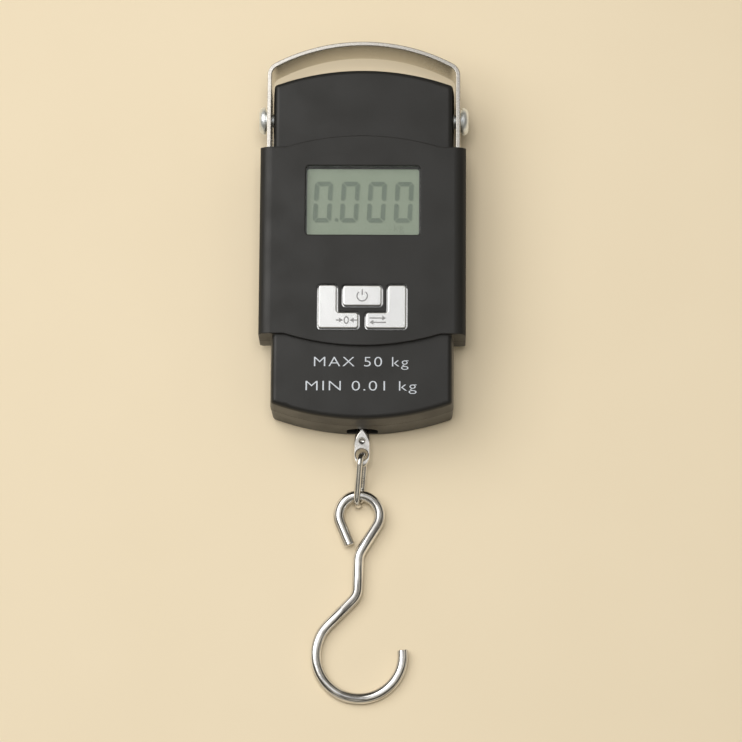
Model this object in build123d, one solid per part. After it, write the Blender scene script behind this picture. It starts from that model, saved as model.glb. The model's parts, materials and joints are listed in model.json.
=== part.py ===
from build123d import *
import math
import os

# Digital hanging scale, lying on its back. Millimetres.
# +X is to the right of the display, +Y points to the bail, +Z is the front face's normal.
# The origin is the middle of the flat back face, so the back rests on z = 0.

# ---------------------------------------------------------------- driving dimensions
# Case: a narrow body with bowed ends, crossed by a wider raised band
WALL = 1.8
FLOOR = 2.0
PARTING_Z = 16.5
FACE_Z = 26.0
BAND_Z = 27.5
CASE_HALF_WIDTH = 31.0
CASE_HALF_LENGTH = 61.6
END_RADIUS = 88.0
FRONT_DRAFT = 3.6
REAR_DRAFT = 1.2
CORNER_RADIUS = 1.8
FACE_ROUNDING = 1.7
BACK_ROUNDING = 1.0
BAND_HALF_WIDTH = 35.0
BAND_LOW_Y = -32.0
BAND_HIGH_Y = 33.2
BAND_BOW_HALF = 26.4
BAND_SHOULDER_WIDTH = 4.0
BAND_SHOULDER_RADIUS = 5.0
EAR_BACK_Z = 8.5
EAR_ROUNDING = 1.5
LIP_THICKNESS = 0.8
LIP_HEIGHT = 1.2
SEAM_CHAMFER = 0.12
POCKET_HALF_WIDTH = 28.0
LABEL_SIZE = (40.0, 28.0)
LABEL_CORNER = 1.5
LABEL_Y = -28.0
LABEL_LOW_Z = 0.04
LABEL_GAP = 0.2
LABEL_RECESS = 0.2

# Bail: one bent strap that slides in channels inside the ears
STRAP_THICKNESS = 1.5
STRAP_LOW_Z = 10.3
STRAP_HIGH_Z = 25.5
BAIL_HALF_WIDTH = 33.0
BAIL_CREST_Y = 71.3
BAIL_ARCH_RADIUS = 64.0
BAIL_SHOULDER_RADIUS = 5.0
BAIL_TAIL_Y = -5.0
BAIL_TRAVEL = 30.0
CHANNEL_GAP_X = 0.35
CHANNEL_GAP_Z = 0.4
CHANNEL_END_Y = -8.0

# Side screws, one in each bail leg
SCREW_Y = 45.0
SCREW_Z = 17.9
SCREW_RADIUS = 2.45
SCREW_SLOT_RADIUS = 2.7
SCREW_HEAD_RADIUS = 4.7
SCREW_HEAD_HEIGHT = 2.1
SCREW_TIP_X = 21.5
WASHER_RADIUS = 4.0
WASHER_INNER_X = 33.15
WASHER_OUTER_X = 33.75

# Display
DISPLAY_Y = 14.5
WINDOW_WIDTH = 39.0
WINDOW_HEIGHT = 24.4
WINDOW_RADIUS = 1.2
WINDOW_GAP = 0.2
WINDOW_FLANGE = 1.4
WINDOW_FLANGE_THICKNESS = 0.7
LENS_HIGH_Z = 27.1
PANEL_WIDTH = 43.0
PANEL_HEIGHT = 27.0
PANEL_CONTACT_EDGE = 1.2
PANEL_LOW_Z = 22.4
PANEL_STEP_Z = 23.6
PANEL_HIGH_Z = 24.8
STRIP_HALF_LENGTH = 19.5
REFLECTOR_SIZE = (41.0, 22.6)
CEILING_Z = BAND_Z - WALL

# Keys
KEY_TOP_Z = 28.2
KEY_GAP = 0.5
KEY_TRAVEL = 0.8
KEY_CORNER = 1.0
KEY_FLANGE = 0.85
KEY_FLANGE_LOW_Z = 24.6
KEY_FLANGE_HIGH_Z = 25.5
POWER_HALF_WIDTH = 6.5
POWER_LOW_Y = -22.5
POWER_HIGH_Y = -15.5
ELL_OUTER_X = 14.8
ELL_ARM_INNER_X = 8.65
ELL_FOOT_INNER_X = 1.3
ELL_HIGH_Y = -15.4
ELL_FOOT_Y = -24.9
ELL_LOW_Y = -30.3
SWITCH_SIZE = 6.0
SWITCH_HIGH_Z = 22.7
PLUNGER_RADIUS = 1.6
PLUNGER_LOW_Z = 21.6

# Circuit board
BOARD_LOW_Z = 18.0
BOARD_HIGH_Z = 19.2
BOARD_HALF_WIDTH = 27.4
BOARD_LOW_Y = -34.0
BOARD_HIGH_Y = 31.0
BOARD_SCREWS = [(25.0, 27.4), (-25.0, 27.4), (25.0, -30.5), (-25.0, -30.5)]
CHIP_CENTRE = (6.0, 16.0)
CHIP_RADIUS = 7.0
CHIP_HEIGHT = 1.6
CAPACITOR_CENTRES = [(-20.0, -12.0), (-20.0, -20.0)]
CAPACITOR_RADIUS = 2.5
CAPACITOR_HEIGHT = 5.4
CRYSTAL_CENTRE = (20.0, -16.0)
CRYSTAL_SIZE = (10.5, 4.4)

# Case screws
CASE_SCREWS = [(16.0, 53.6), (-16.0, 53.6), (24.0, -49.5), (-24.0, -49.5)]
CASE_BOSS_RADIUS = 3.2
CASE_SCREW_RADIUS = 1.1
CASE_HEAD_RADIUS = 2.3
CASE_HEAD_Z = 9.0
CASE_HEAD_HEIGHT = 1.8
CASE_SCREW_TIP_Z = 22.5
BOARD_BOSS_RADIUS = 1.9
BOARD_SCREW_RADIUS = 0.9

# Battery bay: two AAA cells side by side along X
CELL_RADIUS = 5.15
CELL_LENGTH = 44.5
CELL_Z = 7.45
CELL_YS = [13.1, 24.1]
BAY_HALF_WIDTH = 24.5
BAY_LOW_Y = 7.0
BAY_HIGH_Y = 30.2
BAY_TOP_Z = 13.2
BAY_WALL = 1.2
DOOR_GAP = 0.2
DOOR_LOW_Z = 0.1
DOOR_HIGH_Z = 1.7
DOOR_TAB_XS = [-14.5, 14.5]
DOOR_TAB_WIDTH = 5.0
DOOR_TAB_LOW_Z = 0.9
HINGE_POCKET_HIGH_Z = 3.4
GRIP_ROWS = 4
GRIP_PITCH = 1.6
GRIP_WIDTH = 0.7
GRIP_DEPTH = 0.3
GRIP_HALF_LENGTH = 8.0
THUMB_RADIUS = 5.0
THUMB_DEPTH = 0.8
TAB_HALF_WIDTH = 1.2
CONTACT_THICKNESS = 0.4
CONTACT_HALF_WIDTH = 4.0
CONTACT_LOW_Z = 3.5
CONTACT_HIGH_Z = 11.4
LEAD_Z = 15.2
LEAD_RADIUS = 0.6
LEAD_BEND = 1.6
SPRING_RADIUS = 2.6
SPRING_WIRE_RADIUS = 0.35
SPRING_TURNS = 3

# Load path: yoke, S-shaped load cell, swivel
LOAD_Z = 8.0
YOKE_THICKNESS = 2.0
YOKE_HALF_WIDTH = 28.5
YOKE_LOW_Z = 3.0
YOKE_HIGH_Z = 13.0
ARM_BEND_Y = 33.0
ARM_PAD_LOW_Y = 39.5
ARM_PAD_HIGH_Y = 51.0
ARM_PAD_LOW_Z = 14.0
ARM_PAD_HIGH_Z = 23.5
BOLT_RADIUS = 2.5
BOLT_HEAD_RADIUS = 4.25
BOLT_HEAD_HEIGHT = 3.5
BOLT_REACH = 6.0
YOKE_NUT_WIDTH = 8.0
YOKE_NUT_HEIGHT = 4.0
CELL_BLOCK_HALF_WIDTH = 14.0
CELL_BLOCK_HALF_DEPTH = 4.0
BLOCK_HIGH_Y = -2.0
UPPER_SLOT = (-11.5, -9.0)
LOWER_SLOT = (-27.5, -22.0)
BLOCK_LOW_Y = -33.0
SLOT_REACH = 9.0
HOLE_X = 4.5
HOLE_RADIUS = 3.4
LOWER_GAUGE_X = 5.6
GAUGE_THICKNESS = 0.15
GAUGE_LEAD_RADIUS = 0.3
SHANK_RADIUS = 2.0
NECK_RADIUS = 2.2
SHOULDER_Y = -33.3
SHANK_TIP_Y = -22.6
SWIVEL_WASHER_Y = LOWER_SLOT[0] + 0.3
SWIVEL_WASHER_RADIUS = 4.4
SWIVEL_WASHER_HEIGHT = 0.8
SWIVEL_NUT_WIDTH = 7.0
SWIVEL_NUT_HEIGHT = 3.2
NOTCH_RADIUS = 5.3
NOTCH_CENTRE_Z = 6.5
NOTCH_LIP_RECESS = 0.6

# Eye lug
EYE_HOLE_Y = -69.9
EYE_HOLE_RADIUS = 2.0
EYE_END_Y = -74.1
EYE_HALF_WIDTH = 2.85
EYE_HALF_THICKNESS = 1.3
EYE_NECK_END_Y = -62.0
EYE_FLAT_Y = -66.0

# Chain link: closed wire ring with straight sides
LINK_WIRE_RADIUS = 1.05
LINK_END_RADIUS = 3.2
LINK_TOP = Vector(0, -73.0, LOAD_Z)
LINK_BOTTOM = Vector(-0.8, -83.15, 4.0)
LINK_ROLL = 15.0

# Hook: one bent wire, eye loop at the top, open bowl at the bottom
HOOK_WIRE_RADIUS = 1.85
HOOK_LOOP_CENTRE = (-0.8, -89.9)
HOOK_LOOP_RADIUS = 6.9
HOOK_LOOP_Z = 3.8
HOOK_CUT_END = (-4.0, -100.1)
HOOK_NECK_CORNER = (-1.0, -103.4)
HOOK_SHANK_CORNER = (-1.3, -117.3)
HOOK_NECK_BEND = 7.0
HOOK_SHANK_BEND = 6.0
HOOK_BOWL_CENTRE = (-0.5, -137.5)
HOOK_BOWL_RADIUS = 14.7
HOOK_TIP_ANGLE = 7.0
HOOK_RUN = HOOK_LOOP_CENTRE[1] - HOOK_BOWL_CENTRE[1] + HOOK_BOWL_RADIUS
HOOK_PITCH = math.asin((HOOK_LOOP_Z - HOOK_WIRE_RADIUS) / HOOK_RUN)


# ---------------------------------------------------------------- helpers
def block(x, y, z):
    """A box between pairs of coordinates."""
    size = Box(x[1] - x[0], y[1] - y[0], z[1] - z[0])
    return Pos((x[0] + x[1]) / 2, (y[0] + y[1]) / 2, (z[0] + z[1]) / 2) * size


def rod(radius, start, end):
    """A round bar between two points."""
    run = Vector(*end) - Vector(*start)
    return extrude(Plane(origin=start, z_dir=run) * Circle(radius), amount=run.length)


def hex_bar(across_flats, start, end):
    """A hexagonal bar between two points."""
    run = Vector(*end) - Vector(*start)
    section = RegularPolygon(across_flats / 2, 6, major_radius=False)
    return extrude(Plane(origin=start, z_dir=run) * section, amount=run.length)


def slab(sketch, low_z, high_z, taper=0.0):
    """A flat sketch raised from one height to another."""
    return extrude(Pos(0, 0, low_z) * sketch, amount=high_z - low_z, taper=taper)


def both_sides(solid):
    """A solid and its mirror image across the middle plane."""
    return solid + mirror(solid, Plane.YZ)


def bowed_outline(half_width, low_y, high_y, bow_half):
    """Straight sides, with both ends bowed outward to the end radius over the middle of their width."""
    rise = END_RADIUS - math.sqrt(END_RADIUS**2 - bow_half**2)
    edges = []
    for side, end_y, next_y in ((1, high_y, low_y), (-1, low_y, high_y)):
        outer_x = side * half_width
        bow_x = side * bow_half
        if half_width > bow_half:
            edges.append(Line((outer_x, end_y), (bow_x, end_y)))
            edges.append(Line((-bow_x, end_y), (-outer_x, end_y)))
        edges.append(ThreePointArc((bow_x, end_y), (0, end_y + side * rise), (-bow_x, end_y)))
        edges.append(Line((-outer_x, end_y), (-outer_x, next_y)))
    return make_face(edges)


def case_outline(inset=0.0):
    """The narrow body's outline at the parting plane, pulled in by an inset."""
    half_width = CASE_HALF_WIDTH - inset
    rise = END_RADIUS - math.sqrt(END_RADIUS**2 - half_width**2)
    corner_y = CASE_HALF_LENGTH - inset - rise
    outline = bowed_outline(half_width, -corner_y, corner_y, half_width)
    return fillet(outline.vertices(), CORNER_RADIUS)


def key_outline(side):
    """One key's outline: the power key for side 0, or the L-shaped key on the side +1 or -1."""
    if side == 0:
        width = 2 * POWER_HALF_WIDTH
        height = POWER_HIGH_Y - POWER_LOW_Y
        return Pos(0, (POWER_HIGH_Y + POWER_LOW_Y) / 2) * RectangleRounded(width, height, KEY_CORNER)
    corners = [
        (ELL_OUTER_X, ELL_HIGH_Y),
        (ELL_ARM_INNER_X, ELL_HIGH_Y),
        (ELL_ARM_INNER_X, ELL_FOOT_Y),
        (ELL_FOOT_INNER_X, ELL_FOOT_Y),
        (ELL_FOOT_INNER_X, ELL_LOW_Y),
        (ELL_OUTER_X, ELL_LOW_Y),
    ]
    ell = make_face(Polyline([(side * x, y) for x, y in corners], close=True))
    return fillet(ell.vertices(), KEY_CORNER)


# Each gauge: its place on the web and the way, along Y, that its outer side faces.
GAUGES = [
    (-HOLE_X, UPPER_SLOT[0], 1),
    (HOLE_X, UPPER_SLOT[0], 1),
    (-LOWER_GAUGE_X, LOWER_SLOT[1], -1),
    (LOWER_GAUGE_X, LOWER_SLOT[1], -1),
]
KEYS = {"tare": -1, "power": 0, "unit": 1}
KEY_CENTRES = {
    "tare": (-(ELL_OUTER_X + ELL_FOOT_INNER_X) / 2, (ELL_FOOT_Y + ELL_LOW_Y) / 2),
    "power": (0.0, (POWER_HIGH_Y + POWER_LOW_Y) / 2),
    "unit": ((ELL_OUTER_X + ELL_FOOT_INNER_X) / 2, (ELL_FOOT_Y + ELL_LOW_Y) / 2),
}


# ---------------------------------------------------------------- case shells
def bail_channels():
    """The pockets in the ears that the bail legs slide in, open towards the bail."""
    inner_x = BAIL_HALF_WIDTH - STRAP_THICKNESS - CHANNEL_GAP_X
    outer_x = BAIL_HALF_WIDTH + CHANNEL_GAP_X
    height = (STRAP_LOW_Z - CHANNEL_GAP_Z, STRAP_HIGH_Z + CHANNEL_GAP_Z)
    return both_sides(block((inner_x, outer_x), (CHANNEL_END_Y, BAND_HIGH_Y + 1), height))


def side_screw_holes():
    """Clearance through both side walls for the side screws."""
    reach = CASE_HALF_WIDTH + 1
    return rod(SCREW_RADIUS + 0.15, (-reach, SCREW_Y, SCREW_Z), (reach, SCREW_Y, SCREW_Z))


def band():
    """The raised band with its rounded shoulders, from the parting plane to its face."""
    flat_half = BAND_HALF_WIDTH - BAND_SHOULDER_WIDTH
    centre_z = BAND_Z - BAND_SHOULDER_RADIUS
    shoulder_z = centre_z + math.sqrt(BAND_SHOULDER_RADIUS**2 - BAND_SHOULDER_WIDTH**2)
    bend = BAND_SHOULDER_WIDTH / 2
    bend_z = centre_z + math.sqrt(BAND_SHOULDER_RADIUS**2 - bend**2)
    edges = [
        Line((0, BAND_Z), (flat_half, BAND_Z)),
        ThreePointArc((flat_half, BAND_Z), (flat_half + bend, bend_z), (BAND_HALF_WIDTH, shoulder_z)),
        Line((BAND_HALF_WIDTH, shoulder_z), (BAND_HALF_WIDTH, PARTING_Z)),
        Line((BAND_HALF_WIDTH, PARTING_Z), (0, PARTING_Z)),
        Line((0, PARTING_Z), (0, BAND_Z)),
    ]
    section = both_sides(extrude(Plane.XZ * make_face(edges), amount=CASE_HALF_LENGTH, both=True))
    plan = bowed_outline(BAND_HALF_WIDTH, BAND_LOW_Y, BAND_HIGH_Y, BAND_BOW_HALF)
    return section & slab(plan, PARTING_Z, BAND_Z)


def front_shell():
    """Front half of the case: face, raised band, window and key openings, screw bosses."""
    body = slab(case_outline(), PARTING_Z, FACE_Z, FRONT_DRAFT)
    body = fillet(body.faces().sort_by(Axis.Z)[-1].edges(), FACE_ROUNDING)
    shell = body + band()
    shell = chamfer(shell.faces().sort_by(Axis.Z)[0].edges(), SEAM_CHAMFER)
    shell -= slab(case_outline(WALL), PARTING_Z, FACE_Z - WALL, FRONT_DRAFT)
    pocket = bowed_outline(POCKET_HALF_WIDTH, BAND_LOW_Y + WALL, BAND_HIGH_Y - WALL, BAND_BOW_HALF)
    shell -= slab(pocket, PARTING_Z, CEILING_Z)
    shell -= slab(case_outline(WALL - LIP_THICKNESS - 0.1), PARTING_Z, PARTING_Z + LIP_HEIGHT + 0.1)
    for x, y in CASE_SCREWS:
        shell += rod(CASE_BOSS_RADIUS, (x, y, PARTING_Z), (x, y, FACE_Z - WALL + 0.2))
        shell -= rod(CASE_SCREW_RADIUS, (x, y, PARTING_Z), (x, y, FACE_Z - WALL - 0.5))
    for x, y in BOARD_SCREWS:
        shell += rod(BOARD_BOSS_RADIUS, (x, y, BOARD_HIGH_Z), (x, y, CEILING_Z + 0.2))
        shell -= rod(BOARD_SCREW_RADIUS, (x, y, BOARD_HIGH_Z), (x, y, CEILING_Z - 1.5))
    window = Pos(0, DISPLAY_Y) * RectangleRounded(WINDOW_WIDTH, WINDOW_HEIGHT, WINDOW_RADIUS)
    shell -= slab(window, CEILING_Z - 0.5, BAND_Z + 1)
    for side in KEYS.values():
        shell -= slab(offset(key_outline(side), KEY_GAP), CEILING_Z - 0.5, BAND_Z + 1)
    shell -= bail_channels()
    shell -= side_screw_holes()
    return shell


def eye_notch():
    """The arch in the end wall that the eye's neck comes out of, with a slightly recessed sill."""
    outer_y = -CASE_HALF_LENGTH - 1
    inner_y = -CASE_HALF_LENGTH + 3
    sides = (-NOTCH_RADIUS, NOTCH_RADIUS)
    arch = rod(NOTCH_RADIUS, (0, outer_y, NOTCH_CENTRE_Z), (0, inner_y, NOTCH_CENTRE_Z))
    arch &= block(sides, (outer_y, inner_y), (FLOOR, PARTING_Z))
    opening = block(sides, (outer_y, inner_y), (FLOOR, NOTCH_CENTRE_Z))
    sill = block(sides, (outer_y, -CASE_HALF_LENGTH + NOTCH_LIP_RECESS), (-1, FLOOR))
    return arch + opening + sill


def rear_shell():
    """Rear half of the case: floor, ear backs, battery bay, screw bosses, locating lip, eye notch."""
    down = Plane(origin=(0, 0, PARTING_Z), x_dir=(1, 0, 0), z_dir=(0, 0, -1))
    body = extrude(down * case_outline(), amount=PARTING_Z, taper=REAR_DRAFT)
    body = fillet(body.faces().sort_by(Axis.Z)[0].edges(), BACK_ROUNDING)
    ear_width = (CASE_HALF_WIDTH - 1.2, BAND_HALF_WIDTH)
    ear = block(ear_width, (BAND_LOW_Y, BAND_HIGH_Y), (EAR_BACK_Z, PARTING_Z))
    ear = fillet(ear.edges().filter_by(Axis.Y).group_by(Axis.Z)[0].sort_by(Axis.X)[-1], EAR_ROUNDING)
    shell = body + both_sides(ear)
    shell = chamfer(shell.faces().sort_by(Axis.Z)[-1].edges(), SEAM_CHAMFER)
    shell -= extrude(down * case_outline(WALL), amount=PARTING_Z - FLOOR, taper=REAR_DRAFT)
    lip = case_outline(WALL - LIP_THICKNESS) - case_outline(WALL)
    shell += slab(lip, PARTING_Z - 0.5, PARTING_Z + LIP_HEIGHT)
    for x, y in CASE_SCREWS:
        shell += rod(CASE_BOSS_RADIUS, (x, y, FLOOR / 2), (x, y, PARTING_Z))
        shell -= rod(CASE_HEAD_RADIUS + 0.3, (x, y, -1), (x, y, CASE_HEAD_Z))
        shell -= rod(CASE_SCREW_RADIUS + 0.2, (x, y, -1), (x, y, PARTING_Z + 1))
    outer_x = BAY_HALF_WIDTH + BAY_WALL
    outer_y = (BAY_LOW_Y - BAY_WALL, BAY_HIGH_Y + BAY_WALL)
    shell += block((-outer_x, outer_x), outer_y, (FLOOR / 2, BAY_TOP_Z + BAY_WALL))
    shell -= block((-BAY_HALF_WIDTH, BAY_HALF_WIDTH), (BAY_LOW_Y, BAY_HIGH_Y), (-1, BAY_TOP_Z))
    hinge_y = (BAY_HIGH_Y - 0.5, BAY_HIGH_Y + BAY_WALL + 0.2)
    for x in DOOR_TAB_XS:
        reach = DOOR_TAB_WIDTH / 2 + 0.25
        shell -= block((x - reach, x + reach), hinge_y, (DOOR_TAB_LOW_Z - 0.1, HINGE_POCKET_HIGH_Z))
    for y in CELL_YS:
        tab_slot = (y - TAB_HALF_WIDTH - 0.2, y + TAB_HALF_WIDTH + 0.2)
        shell -= block((BAY_HALF_WIDTH - 0.5, BAY_HALF_WIDTH), tab_slot, (BAY_TOP_Z - 1, BAY_TOP_Z + 2))
    shell -= rod(THUMB_RADIUS, (0, BAY_LOW_Y, -1), (0, BAY_LOW_Y, THUMB_DEPTH))
    recess = offset(Rectangle(*LABEL_SIZE), LABEL_GAP, kind=Kind.INTERSECTION)
    shell -= slab(Pos(0, LABEL_Y) * recess, -1, LABEL_RECESS)
    shell -= eye_notch()
    shell -= bail_channels()
    shell -= side_screw_holes()
    return shell


def battery_door():
    """Flat door with two hinge tabs at its upper edge and grip grooves at its lower edge."""
    half_width = BAY_HALF_WIDTH - DOOR_GAP
    low_y = BAY_LOW_Y + DOOR_GAP
    high_y = BAY_HIGH_Y - DOOR_GAP
    door = block((-half_width, half_width), (low_y, high_y), (DOOR_LOW_Z, DOOR_HIGH_Z))
    for x in DOOR_TAB_XS:
        reach = DOOR_TAB_WIDTH / 2
        door += block((x - reach, x + reach), (high_y - 1, BAY_HIGH_Y + 1), (DOOR_TAB_LOW_Z, DOOR_HIGH_Z))
    length = (-GRIP_HALF_LENGTH, GRIP_HALF_LENGTH)
    for row in range(GRIP_ROWS):
        y = low_y + 2.5 + GRIP_PITCH * row
        door -= block(length, (y, y + GRIP_WIDTH), (DOOR_LOW_Z - 1, DOOR_LOW_Z + GRIP_DEPTH))
    return door


def case_screws():
    """Four self-tapping screws with cross-recessed pan heads, driven from the back."""
    screws = []
    for x, y in CASE_SCREWS:
        head = rod(CASE_HEAD_RADIUS, (x, y, CASE_HEAD_Z - CASE_HEAD_HEIGHT), (x, y, CASE_HEAD_Z))
        head = fillet(head.edges().sort_by(Axis.Z)[0], 0.6)
        recess_z = (0, CASE_HEAD_Z - CASE_HEAD_HEIGHT / 2)
        recess = Pos(x, y) * block((-1.3, 1.3), (-0.25, 0.25), recess_z)
        recess += Pos(x, y) * block((-0.25, 0.25), (-1.3, 1.3), recess_z)
        shank = rod(CASE_SCREW_RADIUS, (x, y, CASE_HEAD_Z), (x, y, CASE_SCREW_TIP_Z))
        screws.append(head - recess + shank)
    return Compound(screws)


def rear_label():
    """A blank rating label in its shallow recess on the back."""
    outline = Pos(0, LABEL_Y) * RectangleRounded(*LABEL_SIZE, LABEL_CORNER)
    return slab(outline, LABEL_LOW_Z, LABEL_RECESS - 0.01)


# ---------------------------------------------------------------- display and keys
def lcd_window():
    """Clear lens: a step that fills the window opening and a flange glued under the face."""
    centre = Pos(0, DISPLAY_Y)
    width = WINDOW_WIDTH - 2 * WINDOW_GAP
    height = WINDOW_HEIGHT - 2 * WINDOW_GAP
    step = centre * RectangleRounded(width, height, WINDOW_RADIUS - WINDOW_GAP)
    flange = centre * Rectangle(WINDOW_WIDTH + 2 * WINDOW_FLANGE, WINDOW_HEIGHT + 2 * WINDOW_FLANGE)
    return slab(step, CEILING_Z, LENS_HIGH_Z) + slab(flange, CEILING_Z - WINDOW_FLANGE_THICKNESS, CEILING_Z)


def lcd_panel():
    """Liquid crystal cell: two bonded glass sheets, the upper one shorter along its contact edges."""
    lower = Pos(0, DISPLAY_Y) * Rectangle(PANEL_WIDTH, PANEL_HEIGHT)
    upper = Pos(0, DISPLAY_Y) * Rectangle(PANEL_WIDTH, PANEL_HEIGHT - 2 * PANEL_CONTACT_EDGE)
    return slab(lower, PANEL_LOW_Z, PANEL_STEP_Z) + slab(upper, PANEL_STEP_Z, PANEL_HIGH_Z)


def lcd_frame():
    """Moulded frame that stands on the board and locates the panel and its contact strips."""
    gap = 0.2
    wall = 1.3
    inner = Pos(0, DISPLAY_Y) * Rectangle(PANEL_WIDTH + gap, PANEL_HEIGHT + gap)
    outer = offset(inner, wall, kind=Kind.INTERSECTION)
    return slab(outer - inner, BOARD_HIGH_Z, PANEL_HIGH_Z)


def zebra_strips():
    """Two elastomer strips that join the panel's contact edges to the board."""
    from_centre = PANEL_HEIGHT / 2 - 0.9
    length = (-STRIP_HALF_LENGTH, STRIP_HALF_LENGTH)
    strips = []
    for y in (DISPLAY_Y - from_centre, DISPLAY_Y + from_centre):
        strips.append(block(length, (y - 0.8, y + 0.8), (BOARD_HIGH_Z, PANEL_LOW_Z)))
    return Compound(strips)


def lcd_reflector():
    """Backing sheet that lights the panel from behind."""
    return slab(Pos(0, DISPLAY_Y) * RectangleRounded(*REFLECTOR_SIZE, 0.6), BOARD_HIGH_Z + 0.9, PANEL_LOW_Z)


def key(side):
    """A rigid key: cushioned cap through the face and a retaining flange below it."""
    outline = key_outline(side)
    cap = slab(outline, KEY_FLANGE_HIGH_Z - 0.2, KEY_TOP_Z)
    cap = fillet(cap.faces().sort_by(Axis.Z)[-1].edges(), 0.4)
    return cap + slab(offset(outline, KEY_FLANGE), KEY_FLANGE_LOW_Z, KEY_FLANGE_HIGH_Z)


def switch(centre):
    """Square tactile switch body with a bore for its plunger."""
    x, y = centre
    body = slab(Pos(x, y) * RectangleRounded(SWITCH_SIZE, SWITCH_SIZE, 0.5), BOARD_HIGH_Z, SWITCH_HIGH_Z)
    bore_low_z = PLUNGER_LOW_Z - KEY_TRAVEL - 0.1
    return body - rod(PLUNGER_RADIUS + 0.1, (x, y, bore_low_z), (x, y, SWITCH_HIGH_Z + 1))


def plunger(centre):
    """The switch's moving stem, which the key sits on."""
    x, y = centre
    return rod(PLUNGER_RADIUS, (x, y, PLUNGER_LOW_Z), (x, y, KEY_FLANGE_LOW_Z))


# ---------------------------------------------------------------- electronics
def main_board():
    """Circuit board, screwed to the front shell's bosses."""
    centre_y = (BOARD_LOW_Y + BOARD_HIGH_Y) / 2
    outline = Pos(0, centre_y) * RectangleRounded(2 * BOARD_HALF_WIDTH, BOARD_HIGH_Y - BOARD_LOW_Y, 1.5)
    for x, y in BOARD_SCREWS:
        outline -= Pos(x, y) * Circle(1.2)
    return slab(outline, BOARD_LOW_Z, BOARD_HIGH_Z)


def board_screws():
    """Four small screws that hold the board to the front shell."""
    screws = []
    for x, y in BOARD_SCREWS:
        head = rod(BOARD_BOSS_RADIUS, (x, y, BOARD_LOW_Z - 1.2), (x, y, BOARD_LOW_Z))
        screws.append(head + rod(BOARD_SCREW_RADIUS, (x, y, BOARD_LOW_Z), (x, y, CEILING_Z - 2)))
    return Compound(screws)


def chip_blob():
    """Epoxy dome over the bonded chip, under the board."""
    x, y = CHIP_CENTRE
    blob = rod(CHIP_RADIUS, (x, y, BOARD_LOW_Z - CHIP_HEIGHT), (x, y, BOARD_LOW_Z))
    return fillet(blob.edges().sort_by(Axis.Z)[0], CHIP_HEIGHT - 0.3)


def capacitors():
    """Two smoothing capacitors under the board."""
    cans = []
    for x, y in CAPACITOR_CENTRES:
        cans.append(rod(CAPACITOR_RADIUS, (x, y, BOARD_LOW_Z - CAPACITOR_HEIGHT), (x, y, BOARD_LOW_Z)))
    return Compound(cans)


def crystal():
    """The clock crystal's can, under the board."""
    return slab(Pos(*CRYSTAL_CENTRE) * SlotOverall(*CRYSTAL_SIZE, 90), BOARD_LOW_Z - 3.5, BOARD_LOW_Z)


def battery_cell(index):
    """One AAA cell along X. The cells lie head to tail."""
    y = CELL_YS[index]
    way = 1 if index == 0 else -1
    nub_x = BAY_HALF_WIDTH - CONTACT_THICKNESS
    shoulder_x = nub_x - 1.3
    tail_x = nub_x - CELL_LENGTH
    can = rod(CELL_RADIUS, (way * tail_x, y, CELL_Z), (way * shoulder_x, y, CELL_Z))
    can = fillet(can.edges(), 0.5)
    return can + rod(1.9, (way * shoulder_x, y, CELL_Z), (way * nub_x, y, CELL_Z))


def contact_springs():
    """A coil spring behind each cell's flat end."""
    springs = []
    room = 2 * (BAY_HALF_WIDTH - CONTACT_THICKNESS) - CELL_LENGTH
    height = room - 2 * SPRING_WIRE_RADIUS
    for index, y in enumerate(CELL_YS):
        way = 1 if index == 0 else -1
        start_x = -way * (BAY_HALF_WIDTH - CONTACT_THICKNESS - SPRING_WIRE_RADIUS)
        place = Plane(origin=(start_x, y, CELL_Z), z_dir=(way, 0, 0))
        coil = place * Helix(pitch=height / SPRING_TURNS, height=height, radius=SPRING_RADIUS)
        section = Plane(origin=coil @ 0, z_dir=coil % 0) * Circle(SPRING_WIRE_RADIUS)
        springs.append(sweep(section, path=coil, is_frenet=True))
    return Compound(springs)


def contact_plates():
    """Sprung brass contacts: one that joins the cells, and two with solder tabs."""
    inner_x = BAY_HALF_WIDTH - CONTACT_THICKNESS
    sheet = (inner_x, BAY_HALF_WIDTH)
    height = (CONTACT_LOW_Z, CONTACT_HIGH_Z)
    both_cells = (CELL_YS[0] - CONTACT_HALF_WIDTH, CELL_YS[1] + CONTACT_HALF_WIDTH)
    plates = [block((-BAY_HALF_WIDTH, -inner_x), both_cells, height)]
    for y in CELL_YS:
        plate = block(sheet, (y - CONTACT_HALF_WIDTH, y + CONTACT_HALF_WIDTH), height)
        tab = block(sheet, (y - TAB_HALF_WIDTH, y + TAB_HALF_WIDTH), (CONTACT_HIGH_Z, LEAD_Z + LEAD_RADIUS))
        plates.append(plate + tab)
    return Compound(plates)


def battery_lead(index):
    """A lead from a contact's solder tab to the board."""
    y = CELL_YS[index]
    start_x = BAY_HALF_WIDTH - CONTACT_THICKNESS
    turn_x = start_x - 4.0
    corners = [(start_x, y, LEAD_Z), (turn_x, y, LEAD_Z), (turn_x, y, BOARD_LOW_Z)]
    route = FilletPolyline(*corners, radius=LEAD_BEND)
    return sweep(Plane(origin=route @ 0, z_dir=route % 0) * Circle(LEAD_RADIUS), path=route)


def gauge_leads():
    """Four fine wires from the strain gauges up to the board."""
    wires = []
    for x, y, way in GAUGES:
        wire_y = y + way * (GAUGE_THICKNESS + GAUGE_LEAD_RADIUS)
        wires.append(rod(GAUGE_LEAD_RADIUS, (x, wire_y, LOAD_Z), (x, wire_y, BOARD_LOW_Z)))
    return Compound(wires)


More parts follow.
